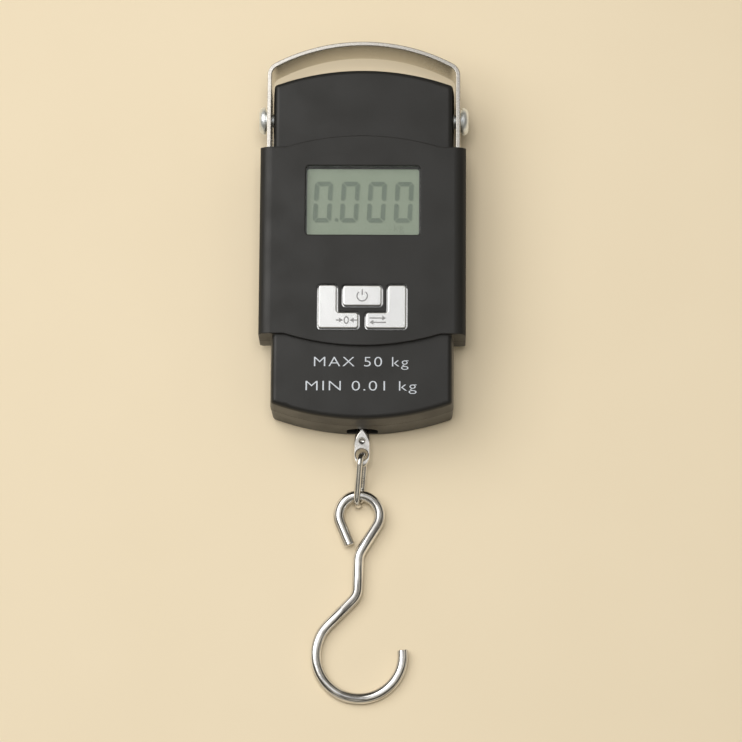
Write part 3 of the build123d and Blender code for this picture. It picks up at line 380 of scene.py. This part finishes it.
def plated(name, colour, dull, roughness, grain, wave=PLATING_WAVE_DEPTH, scratch=SCRATCH_DEPTH):
    """Plated metal: fine drawn grain, faint long waves and slightly duller patches."""
    material, tree, shader = new_material(name, colour, metallic=1.0)
    patch = noise(tree, PLATING_PATCH_SIZE, 4.0)
    fine = noise(tree, grain, 3.0)
    tree.links.new(colour_between(tree, patch, colour, dull, 0.45, 0.75), shader.inputs["Base Color"])
    tree.links.new(value_between(tree, fine, *roughness), shader.inputs["Roughness"])
    add_bump(tree, shader, noise(tree, PLATING_WAVE_SIZE, 1.0), wave, 0.5)
    add_bump(tree, shader, fine, scratch, 0.5)
    return material


def drawn_wire_with_painted_bands(name, bright, dull, roughness):
    """Plated wire: streaks that follow it, placed by how far round the wire they lie; in relief they are
    drawn lines, in colour they paint bands of reflection.
    """
    material, tree, shader = new_material(name, bright, metallic=1.0)
    place = tree.nodes.new("ShaderNodeTexCoord")
    facing = tree.nodes.new("ShaderNodeSeparateXYZ")
    position = tree.nodes.new("ShaderNodeSeparateXYZ")
    around = tree.nodes.new("ShaderNodeCombineXYZ")
    mapping = tree.nodes.new("ShaderNodeMapping")
    mapping.inputs["Scale"].default_value = (STREAKS_ROUND_WIRE, 1 / STREAK_LENGTH, 1 / STREAK_LENGTH)
    streak = tree.nodes.new("ShaderNodeTexNoise")
    streak.inputs["Scale"].default_value = 1.0
    streak.inputs["Detail"].default_value = 3.0
    tree.links.new(place.outputs["Normal"], facing.inputs["Vector"])
    tree.links.new(place.outputs["Object"], position.inputs["Vector"])
    tree.links.new(facing.outputs["Z"], around.inputs["X"])
    tree.links.new(position.outputs["X"], around.inputs["Y"])
    tree.links.new(position.outputs["Y"], around.inputs["Z"])
    tree.links.new(around.outputs["Vector"], mapping.inputs["Vector"])
    tree.links.new(mapping.outputs["Vector"], streak.inputs["Vector"])
    streaks = streak.outputs["Fac"]
    # Painted reflection: the base colour runs from dark to bright in bands laid by how far the wire faces up.
    tree.links.new(colour_between(tree, streaks, dull, bright, 0.42, 0.56), shader.inputs["Base Color"])
    tree.links.new(value_between(tree, streaks, *roughness), shader.inputs["Roughness"])
    add_bump(tree, shader, streaks, STREAK_DEPTH, 0.8)
    add_bump(tree, shader, noise(tree, WIRE_GRAIN, 2.0), SCRATCH_DEPTH, 0.5)
    return material


def mottled(name, low, high, roughness=(0.4, 0.6), size=2 * MM, relief=0.01 * MM, metallic=0.0):
    """A plain made surface: two close colours, uneven gloss and a slight relief."""
    material, tree, shader = new_material(name, low, metallic)
    tree.links.new(colour_between(tree, noise(tree, size, 3.0), low, high), shader.inputs["Base Color"])
    tree.links.new(value_between(tree, noise(tree, size * 2.5, 2.0), *roughness), shader.inputs["Roughness"])
    add_bump(tree, shader, noise(tree, size * 0.3, 2.0), relief, 0.5)
    return material


def clear_lens(name):
    """Clear sheet: what is behind shows through, with a weak reflection and fine hairline scratches."""
    material, tree, gloss = new_material(name, (1.0, 1.0, 1.0), metallic=1.0)
    gloss.inputs["Specular IOR Level"].default_value = 0.5
    hairlines = noise(tree, HAIRLINE_WIDTH, 3.0, HAIRLINE_STRETCH)
    tree.links.new(value_between(tree, hairlines, 0.04, 0.12), gloss.inputs["Roughness"])
    see = tree.nodes.new("ShaderNodeBsdfTransparent")
    see.inputs["Color"].default_value = (0.985, 1.0, 0.99, 1.0)
    slope = tree.nodes.new("ShaderNodeLayerWeight")
    slope.inputs["Blend"].default_value = 0.5
    grazing = tree.nodes.new("ShaderNodeMath")
    grazing.operation = "POWER"
    grazing.inputs[1].default_value = 5.0
    tree.links.new(slope.outputs["Facing"], grazing.inputs[0])
    share = value_between(tree, grazing.outputs["Value"], 0.03, 0.7, 0.0, 1.0)
    mix = tree.nodes.new("ShaderNodeMixShader")
    tree.links.new(share, mix.inputs["Fac"])
    tree.links.new(see.outputs["BSDF"], mix.inputs[1])
    tree.links.new(gloss.outputs["BSDF"], mix.inputs[2])
    tree.links.new(mix.outputs["Shader"], tree.nodes["Material Output"].inputs["Surface"])
    return material


def cell_wrap(name):
    """Printed battery sleeve: dark body, copper-coloured band at each positive end."""
    material, tree, shader = new_material(name, (0.05, 0.05, 0.06), roughness=0.3)
    coordinates = tree.nodes.new("ShaderNodeTexCoord")
    along = tree.nodes.new("ShaderNodeSeparateXYZ")
    tree.links.new(coordinates.outputs["Object"], along.inputs["Vector"])
    share = value_between(tree, along.outputs["X"], 0.0, 1.0, -CELL_HALF_LENGTH, CELL_HALF_LENGTH)
    sleeve = colour_between(tree, share, (0.55, 0.26, 0.09), (0.03, 0.035, 0.05), 0.28, 0.29)
    tree.links.new(sleeve, shader.inputs["Base Color"])
    add_bump(tree, shader, noise(tree, SLEEVE_CREASE_SIZE, 2.0), PLATING_WAVE_DEPTH, 0.4)
    return material


def strap_steel(name, rolled, cut):
    """Plated strap: bright warm rolled faces, and duller sheared edges that face up and down."""
    material, tree, shader = new_material(name, rolled, metallic=1.0)
    place = tree.nodes.new("ShaderNodeTexCoord")
    facing = tree.nodes.new("ShaderNodeSeparateXYZ")
    tree.links.new(place.outputs["Normal"], facing.inputs["Vector"])
    sheared = product(tree, facing.outputs["Z"], facing.outputs["Z"])
    tree.links.new(colour_between(tree, sheared, rolled, cut, 0.55, 0.85), shader.inputs["Base Color"])
    fine = noise(tree, STRAP_GRAIN, 3.0, STRAP_GRAIN_STRETCH)
    tree.links.new(value_between(tree, fine, 0.18, 0.3), shader.inputs["Roughness"])
    add_bump(tree, shader, noise(tree, STRAP_WAVE_SIZE, 1.0), PLATING_WAVE_DEPTH, 0.3)
    add_bump(tree, shader, fine, SCRATCH_DEPTH, 0.4)
    return material


MATERIALS = {
    "case_black": spark_plastic("case_black", (0.0085, 0.0082, 0.0078), (0.016, 0.0155, 0.0145)),
    "bail_steel": strap_steel("bail_steel", (0.73, 0.69, 0.60), (0.50, 0.48, 0.45)),
    "hook_chrome": plated("hook_chrome", (0.80, 0.785, 0.76), (0.52, 0.505, 0.48), (0.10, 0.22), 0.35 * MM),
    "screw_zinc": plated("screw_zinc", (0.86, 0.895, 0.92), (0.74, 0.78, 0.81), (0.34, 0.46), 0.3 * MM),
    "key_silver": plated(
        "key_silver",
        (0.80, 0.805, 0.81),
        (0.76, 0.765, 0.77),
        (0.15, 0.2),
        0.3 * MM,
        wave=0.002 * MM,
        scratch=0.0005 * MM,
    ),
    "window_clear": clear_lens("window_clear"),
    "lcd_green": mottled("lcd_green", (0.228, 0.265, 0.208), (0.24, 0.274, 0.218), (0.5, 0.6), 6 * MM),
    "lcd_white": mottled("lcd_white", (0.74, 0.75, 0.72), (0.68, 0.69, 0.66)),
    "label_grey": mottled("label_grey", (0.50, 0.51, 0.52), (0.46, 0.47, 0.48), (0.3, 0.42), 5 * MM),
    "board_green": mottled("board_green", (0.02, 0.13, 0.05), (0.03, 0.17, 0.07), (0.25, 0.4)),
    "part_black": mottled("part_black", (0.018, 0.018, 0.018), (0.03, 0.03, 0.03)),
    "can_steel": plated("can_steel", (0.56, 0.56, 0.55), (0.46, 0.46, 0.45), (0.25, 0.4), 0.4 * MM),
    "cell_wrap": cell_wrap("cell_wrap"),
    "contact_nickel": plated("contact_nickel", (0.70, 0.68, 0.62), (0.58, 0.55, 0.5), (0.2, 0.3), 0.3 * MM),
    "lead_red": mottled("lead_red", (0.45, 0.015, 0.012), (0.52, 0.03, 0.02), (0.35, 0.5)),
    "lead_black": mottled("lead_black", (0.015, 0.015, 0.015), (0.03, 0.03, 0.03), (0.35, 0.5)),
    "lead_white": mottled("lead_white", (0.72, 0.72, 0.70), (0.64, 0.64, 0.62), (0.35, 0.5)),
    "beam_aluminium": plated("beam_aluminium", (0.77, 0.78, 0.79), (0.7, 0.71, 0.72), (0.3, 0.45), 0.3 * MM),
    "gauge_foil": mottled("gauge_foil", (0.55, 0.32, 0.08), (0.45, 0.25, 0.06), (0.25, 0.35), 0.6 * MM),
}
# Hook wire whose dark and bright colour bands paint reflection along it.
HOOK_WIRE = drawn_wire_with_painted_bands("hook_wire", (0.94, 0.93, 0.92), (0.33, 0.32, 0.31), (0.2, 0.1))
PRINT_GREY = mottled("print_grey", (0.62, 0.66, 0.72), (0.54, 0.58, 0.64), (0.5, 0.65), 0.4 * MM)
LCD_DARK = mottled("lcd_dark", (0.118, 0.148, 0.119), (0.126, 0.156, 0.124), (0.5, 0.6), 3 * MM)
LCD_SHADOW = mottled("lcd_shadow", (0.185, 0.215, 0.17), (0.195, 0.225, 0.178), (0.5, 0.6), 3 * MM)
ICON_GREY = mottled("icon_grey", (0.22, 0.22, 0.225), (0.28, 0.28, 0.285), (0.35, 0.5), 0.5 * MM)


def clothe_nodes():
    """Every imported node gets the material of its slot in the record."""
    for part in frame["record"]["subparts"]:
        data = nodes[part["node"]].data
        data.materials.clear()
        data.materials.append(MATERIALS[part["material_slot"]])
    nodes["hook"].data.materials[0] = HOOK_WIRE


# ---------------------------------------------------------------- building blocks for pieces
def add_piece(name, mesh, body, material):
    """Puts a finished mesh into the scene, riding on a body."""
    piece = bpy.data.objects.new(name, mesh)
    mesh.materials.clear()
    mesh.materials.append(material)
    bpy.context.scene.collection.objects.link(piece)
    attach(piece, body)
    return piece


def finished_mesh(name, solid):
    """The mesh of a closed solid, with its faces turned outwards."""
    bmesh.ops.recalc_face_normals(solid, faces=solid.faces)
    mesh = bpy.data.meshes.new(name)
    solid.to_mesh(mesh)
    solid.free()
    return mesh


def bridge(solid, rings):
    """Walls between each ring of points and the next."""
    for ring, following in zip(rings, rings[1:]):
        for k in range(len(ring)):
            after = (k + 1) % len(ring)
            solid.faces.new((ring[k], ring[after], following[after], following[k]))


def prisms(name, outlines, low, high):
    """One mesh of upright prisms on flat outlines."""
    solid = bmesh.new()
    for outline in outlines:
        face = solid.faces.new([solid.verts.new((x, y, low)) for x, y in outline])
        grown = bmesh.ops.extrude_face_region(solid, geom=[face])
        raised = [part for part in grown["geom"] if isinstance(part, bmesh.types.BMVert)]
        bmesh.ops.translate(solid, verts=raised, vec=(0, 0, high - low))
    return finished_mesh(name, solid)


def stroke(points, width):
    """The outline of an even line along points."""
    left, right = [], []
    for i, point in enumerate(points):
        along = Vector(points[min(i + 1, len(points) - 1)]) - Vector(points[max(i - 1, 0)])
        side = Vector((-along.y, along.x)).normalized() * width / 2
        left.append(tuple(Vector(point) + side))
        right.append(tuple(Vector(point) - side))
    return left + right[::-1]


def arc(centre, radius_x, radius_y, start, stop, count=28):
    """Points round part of an ellipse, with its angles in degrees."""
    points = []
    for i in range(count + 1):
        angle = math.radians(start + (stop - start) * i / count)
        points.append((centre[0] + radius_x * math.cos(angle), centre[1] + radius_y * math.sin(angle)))
    return points


def tube(solid, points, radii, sides=20):
    """A closed round tube through a ring of points, with its own radius at each."""
    rings = []
    count = len(points)
    for i, point in enumerate(points):
        along = (points[(i + 1) % count] - points[i - 1]).normalized()
        across = along.cross(LINK_NORMAL).normalized()
        ring = []
        for k in range(sides):
            angle = 2 * math.pi * k / sides
            offset = across * math.cos(angle) + LINK_NORMAL * math.sin(angle)
            ring.append(solid.verts.new(point + offset * radii[i]))
        rings.append(ring)
    bridge(solid, rings + rings[:1])


# ---------------------------------------------------------------- display
def zero_segments():
    """The six lit segments of a nought in a box from (0, 0), before the slant."""
    width, height, thickness = DIGIT_WIDTH, DIGIT_HEIGHT, SEGMENT_THICKNESS
    chamfer, gap = SEGMENT_CHAMFER, SEGMENT_GAP
    middle = height / 2
    top = [
        (chamfer / 2 + gap / 2, height - chamfer / 2 + gap / 2),
        (chamfer, height),
        (width - chamfer, height),
        (width - chamfer / 2 - gap / 2, height - chamfer / 2 + gap / 2),
        (width - thickness - gap, height - thickness),
        (thickness + gap, height - thickness),
    ]
    upper_left = [
        (0, height - chamfer),
        (chamfer / 2 - gap / 2, height - chamfer / 2 - gap / 2),
        (thickness, height - thickness - gap),
        (thickness, middle + 0.75 * thickness),
        (0.55 * thickness, middle + 0.3 * thickness),
        (0, middle + 0.5 * thickness),
    ]
    upper = [top, upper_left, [(width - x, y) for x, y in upper_left]]
    return upper + [[(x, height - y) for x, y in outline] for outline in upper]


def display_outlines(shift):
    """Four slanted noughts and a decimal point, moved by a small shift."""
    outlines = []
    for i in range(DIGIT_COUNT):
        left = DIGIT_FIRST_LEFT + i * DIGIT_PITCH
        for segment in zero_segments():
            outlines.append([
                (left + x + (y - DIGIT_HEIGHT) * math.tan(DIGIT_SLANT) + shift, DIGIT_LOW_Y + y - shift)
                for x, y in segment
            ])
    centre = (POINT_CENTRE[0] + shift, POINT_CENTRE[1] - shift)
    outlines.append(arc(centre, POINT_RADIUS, POINT_RADIUS, 0, 345, 23))
    return outlines


def rounded_rectangle(centre, half_width, low, high, radius):
    """Points round a rectangle with rounded corners; low and high are its edges' distances along Y."""
    points = []
    for x, y, start in (
        (half_width - radius, high - radius, 0),
        (-half_width + radius, high - radius, 90),
        (-half_width + radius, -low + radius, 180),
        (half_width - radius, -low + radius, 270),
    ):
        points += arc((centre[0] + x, centre[1] + y), radius, radius, start, start + 90, 8)
    return points


def frame_prism(name, outer, inner, low, high):
    """An upright-walled frame between two outlines with the same number of points."""
    solid = bmesh.new()
    rings = []
    for outline, z in ((outer, low), (outer, high), (inner, high), (inner, low)):
        rings.append([solid.verts.new((x, y, z)) for x, y in outline])
    bridge(solid, rings + rings[:1])
    return finished_mesh(name, solid)


def make_display():
    """The lit figures under the window, their faint shadow on the reflector, and a black surround of printed
    border and painted shade.
    """
    low = PANEL_TOP + PANEL_GAP
    outer = rounded_rectangle(DISPLAY_CENTRE, *SURROUND_OUTER)
    inner = rounded_rectangle(DISPLAY_CENTRE, *SURROUND_INNER)
    # Painted shade: a black sheet round the figures, partly a printed border and partly the bezel's shadow,
    # widest at the top.
    surround_and_shade = frame_prism("lcd_surround_and_shade", outer, inner, low + 3 * INK_THICKNESS, low + 4 * INK_THICKNESS)
    add_piece("lcd_surround_and_shade", surround_and_shade, "case", MATERIALS["part_black"])
    shadow = prisms("lcd_shadows", display_outlines(FIGURE_SHADOW_SHIFT), low, low + INK_THICKNESS)
    add_piece("lcd_shadows", shadow, "case", LCD_SHADOW)
    figures = prisms("lcd_figures", display_outlines(0.0), low + INK_THICKNESS, low + 2 * INK_THICKNESS)
    add_piece("lcd_figures", figures, "case", LCD_DARK)
    unit = lettering("lcd_unit", "kg", UNIT_WIDTH, UNIT_FOOT, low + INK_THICKNESS)
    add_piece("lcd_unit", unit, "case", LCD_SHADOW)


# ---------------------------------------------------------------- print and key marks
def lettering(name, words, width, foot, low, bold=0.0, height=None):
    """Flat characters set to a width, centred on a foot point, and to a capital's height if given."""
    curve = bpy.data.curves.new(name + "_text", "FONT")
    curve.body = words
    curve.extrude = 0.5
    curve.offset = bold
    curve.space_character = LETTER_SPACING
    holder = bpy.data.objects.new(name + "_text", curve)
    bpy.context.scene.collection.objects.link(holder)
    mesh = bpy.data.meshes.new_from_object(holder.evaluated_get(bpy.context.evaluated_depsgraph_get()))
    mesh.name = name
    bpy.data.objects.remove(holder)
    xs = [vertex.co.x for vertex in mesh.vertices]
    scale_x = width / (max(xs) - min(xs))
    scale_y = scale_x if height is None else height / CAPITAL_SHARE
    for vertex in mesh.vertices:
        vertex.co.x = (vertex.co.x - (max(xs) + min(xs)) / 2) * scale_x + foot[0]
        vertex.co.y = vertex.co.y * scale_y + foot[1]
        vertex.co.z = low + (vertex.co.z + 0.5) * INK_THICKNESS
    return mesh


def make_print():
    """Two generic lines of capacity print on the lower face."""
    for name, words, width, foot_y in PRINT_LINES:
        foot = (PRINT_CENTRE_X, foot_y)
        mesh = lettering(name, words, width, foot, LOWER_FACE, PRINT_THINNING, PRINT_HEIGHT)
        add_piece(name, mesh, "case", PRINT_GREY)


def arrow(tail, tip, width):
    """A straight arrow's shaft and head; the head's size is in line widths."""
    along = (Vector(tip) - Vector(tail)).normalized()
    neck = Vector(tip) - along * ARROW_HEAD_LENGTH * width
    side = Vector((-along.y, along.x)) * ARROW_HEAD_HALF_WIDTH * width
    return [stroke([tail, tuple(neck)], width), [tuple(neck + side), tuple(neck - side), tip]]


def make_key_marks():
    """Generic signs, moulded slightly proud of each key: power, zero and change-over."""
    low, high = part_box("power_key")
    x, y = (low.x + high.x) / 2, (low.y + high.y) / 2
    circle = arc((x, y - POWER_RING_DROP), POWER_RING_RADIUS, POWER_RING_RADIUS, 130, 410)
    ring = stroke(circle, SIGN_LINE)
    bar = stroke([(x, y + rise) for rise in POWER_BAR], SIGN_LINE)
    nought = stroke(arc((-SIGN_X, SIGN_Y), *NOUGHT_RADII, 0, 352, 40), SIGN_LINE)
    far, near = ZERO_ARROW_REACH
    inward = []
    for way in (-1, 1):
        inward += arrow((-SIGN_X + way * far, SIGN_Y), (-SIGN_X + way * near, SIGN_Y), SIGN_LINE)
    swapping = []
    for way in (1, -1):
        height = SIGN_Y + way * CHANGE_ARROW_RISE
        reach = way * CHANGE_ARROW_HALF
        swapping += arrow((SIGN_X - reach, height), (SIGN_X + reach, height), SIGN_LINE)
    for key, outlines in (
        ("power_key", [ring, bar]),
        ("tare_key", [nought, *inward]),
        ("unit_key", swapping),
    ):
        mesh = prisms(key + "_sign", outlines, KEY_TOP - SIGN_SUNK, KEY_TOP + SIGN_PROUD)
        add_piece(key + "_sign", mesh, key, ICON_GREY)


# ---------------------------------------------------------------- hanging gear
def weld_shape(distance):
    """How much thicker the wire is at a distance from the weld: swollen, with a notch in its middle."""
    swell, swell_reach = WELD_SWELL
    notch, notch_reach = WELD_NOTCH
    bulge = swell * math.exp(-((distance / swell_reach) ** 2))
    return 1 + bulge - notch * math.exp(-((distance / notch_reach) ** 2))


def make_link():
    """The chain link: bent wire with an upset butt weld half way along one side."""
    across = LINK_ALONG.cross(LINK_NORMAL)
    length = (LINK_BOTTOM - LINK_TOP).length
    points, radii = [], []
    for start, bend_centre, way in ((LINK_TOP, LINK_BOTTOM, 1), (LINK_BOTTOM, LINK_TOP, -1)):
        for i in range(LINK_STRAIGHT_STEPS):
            share = i / LINK_STRAIGHT_STEPS
            points.append(start + way * (LINK_ALONG * length * share + across * LINK_BEND))
            radii.append(LINK_WIRE if way > 0 else LINK_WIRE * weld_shape((share - 0.5) * length))
        for i in range(LINK_TURN_STEPS):
            angle = math.pi * i / LINK_TURN_STEPS
            offset = way * (across * math.cos(angle) + LINK_ALONG * math.sin(angle))
            points.append(bend_centre + offset * LINK_BEND)
            radii.append(LINK_WIRE)
    solid = bmesh.new()
    tube(solid, points, radii)
    mesh = finished_mesh("link_wire", solid)
    mesh.shade_smooth()
    piece = add_piece("link_wire", mesh, "chain_link", MATERIALS["hook_chrome"])
    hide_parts("chain_link")


def eye_section(y):
    """The eye's half width and half thickness, in millimetres, at a distance along Y."""
    if y > EYE_SHOULDER_Y:
        return EYE_SHANK, EYE_SHANK
    if y > EYE_NECK_Y:
        return EYE_NECK, EYE_NECK
    share = min(1.0, (EYE_NECK_Y - y) / (EYE_NECK_Y - EYE_FLAT_Y))
    width = EYE_NECK + (EYE_HALF_WIDTH - EYE_NECK) * share
    thickness = EYE_NECK + (EYE_HALF_THICKNESS - EYE_NECK) * share
    if y < EYE_HOLE_Y:
        past = (EYE_HOLE_Y - y) / (EYE_HOLE_Y - EYE_END_Y)
        width *= math.sqrt(max(0.0, 1 - past**2))
        thickness *= math.sqrt(max(0.0, 1 - past**6))
    return width, thickness


def eye_body():
    """The eye before its hole: a round bar pressed flat, so that the flats run up to a point."""
    ys = [EYE_TIP_Y, EYE_SHOULDER_Y + SHOULDER_HALF_LENGTH, EYE_SHOULDER_Y - SHOULDER_HALF_LENGTH, EYE_NECK_Y]
    ys += [EYE_NECK_Y + (EYE_HOLE_Y - EYE_NECK_Y) * i / EYE_STEPS for i in range(1, EYE_STEPS + 1)]
    length = EYE_HOLE_Y - EYE_END_Y
    ys += [EYE_HOLE_Y - length * math.sin(math.pi / 2 * i / EYE_STEPS) for i in range(1, EYE_STEPS)]
    solid = bmesh.new()
    rings = []
    for y in ys:
        width, thickness = eye_section(y)
        ring = []
        for k in range(EYE_SIDES):
            angle = 2 * math.pi * k / EYE_SIDES
            height = max(-thickness, min(thickness, width * math.sin(angle)))
            ring.append(solid.verts.new(Vector((width * math.cos(angle), y, EYE_AXIS_Z + height)) * MM))
        rings.append(ring)
    bridge(solid, rings)
    solid.faces.new(rings[0])
    solid.faces.new(rings[-1])
    return finished_mesh("forged_eye", solid)


def lathe(name, profile, centre, sides=64):
    """A closed turned solid about an upright axis, from pairs of radius and height in millimetres."""
    solid = bmesh.new()
    rings = []
    for radius, height in profile:
        ring = []
        for k in range(sides):
            angle = 2 * math.pi * k / sides
            offset = Vector((radius * math.cos(angle), radius * math.sin(angle), height))
            ring.append(solid.verts.new((Vector(centre) + offset) * MM))
        rings.append(ring)
    bridge(solid, rings)
    solid.faces.new(rings[0])
    solid.faces.new(rings[-1])
    return finished_mesh(name, solid)


def hole_profile():
    """Radius and height of the eye's hole, whose rims are rolled outwards."""
    profile = []
    for i in range(-HOLE_STEPS, HOLE_STEPS + 1):
        height = EYE_HALF_THICKNESS * HOLE_OVERCUT * i / HOLE_STEPS
        past = max(0.0, (abs(height) - EYE_RIM_START) / (EYE_HALF_THICKNESS - EYE_RIM_START))
        roll = EYE_RIM_ROLL * (1 - math.sqrt(max(0.0, 1 - min(1.0, past) ** 2)))
        profile.append((EYE_HOLE_RADIUS + roll, height))
    return profile


def dimple_profile():
    """Radius and height of the ball that presses the dimple."""
    angles = [math.pi * (i + 0.5) / DIMPLE_STEPS for i in range(DIMPLE_STEPS)]
    return [(EYE_DIMPLE_RADIUS * math.sin(angle), -EYE_DIMPLE_RADIUS * math.cos(angle)) for angle in angles]


def make_eye():
    """The forged eye with its hole and the pressed dimple above it."""
    body = bpy.data.objects.new("forged_eye_blank", eye_body())
    bpy.context.scene.collection.objects.link(body)
    dimple_z = EYE_AXIS_Z + EYE_HALF_THICKNESS + EYE_DIMPLE_RADIUS - EYE_DIMPLE_DEPTH
    cutters = [
        lathe("hole_cutter", hole_profile(), (0, EYE_HOLE_Y, EYE_AXIS_Z)),
        lathe("dimple_cutter", dimple_profile(), (0, EYE_DIMPLE_Y, dimple_z)),
    ]
    for cutter in cutters:
        tool = bpy.data.objects.new(cutter.name, cutter)
        bpy.context.scene.collection.objects.link(tool)
        cut = body.modifiers.new(cutter.name, "BOOLEAN")
        cut.operation = "DIFFERENCE"
        cut.solver = "EXACT"
        cut.object = tool
    mesh = bpy.data.meshes.new_from_object(body.evaluated_get(bpy.context.evaluated_depsgraph_get()))
    for cutter in cutters:
        bpy.data.objects.remove(bpy.data.objects[cutter.name])
    bpy.data.objects.remove(body)
    mesh.shade_smooth()
    mesh.set_sharp_from_angle(angle=EYE_SHARP_ANGLE)
    piece = add_piece("forged_eye", mesh, "hook_eye", MATERIALS["hook_chrome"])
    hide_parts("hook_eye")


# ---------------------------------------------------------------- floor
def make_floor():
    """A plain pale sheet under the scale."""
    half = FLOOR_HALF_SIZE
    corners = [(-half, -half), (half, -half), (half, half), (-half, half)]
    mesh = prisms("floor", [corners], FLOOR_TOP - FLOOR_THICKNESS, FLOOR_TOP)
    floor = bpy.data.objects.new("floor", mesh)
    paper = mottled("floor_paper", (0.80, 0.69, 0.51), (0.79, 0.68, 0.50), (0.85, 0.9), 60 * MM)
    mesh.materials.append(paper)
    bpy.context.scene.collection.objects.link(floor)


make_camera()
make_lights()
make_floor()
clothe_nodes()
make_display()
make_print()
make_key_marks()
make_link()
make_eye()
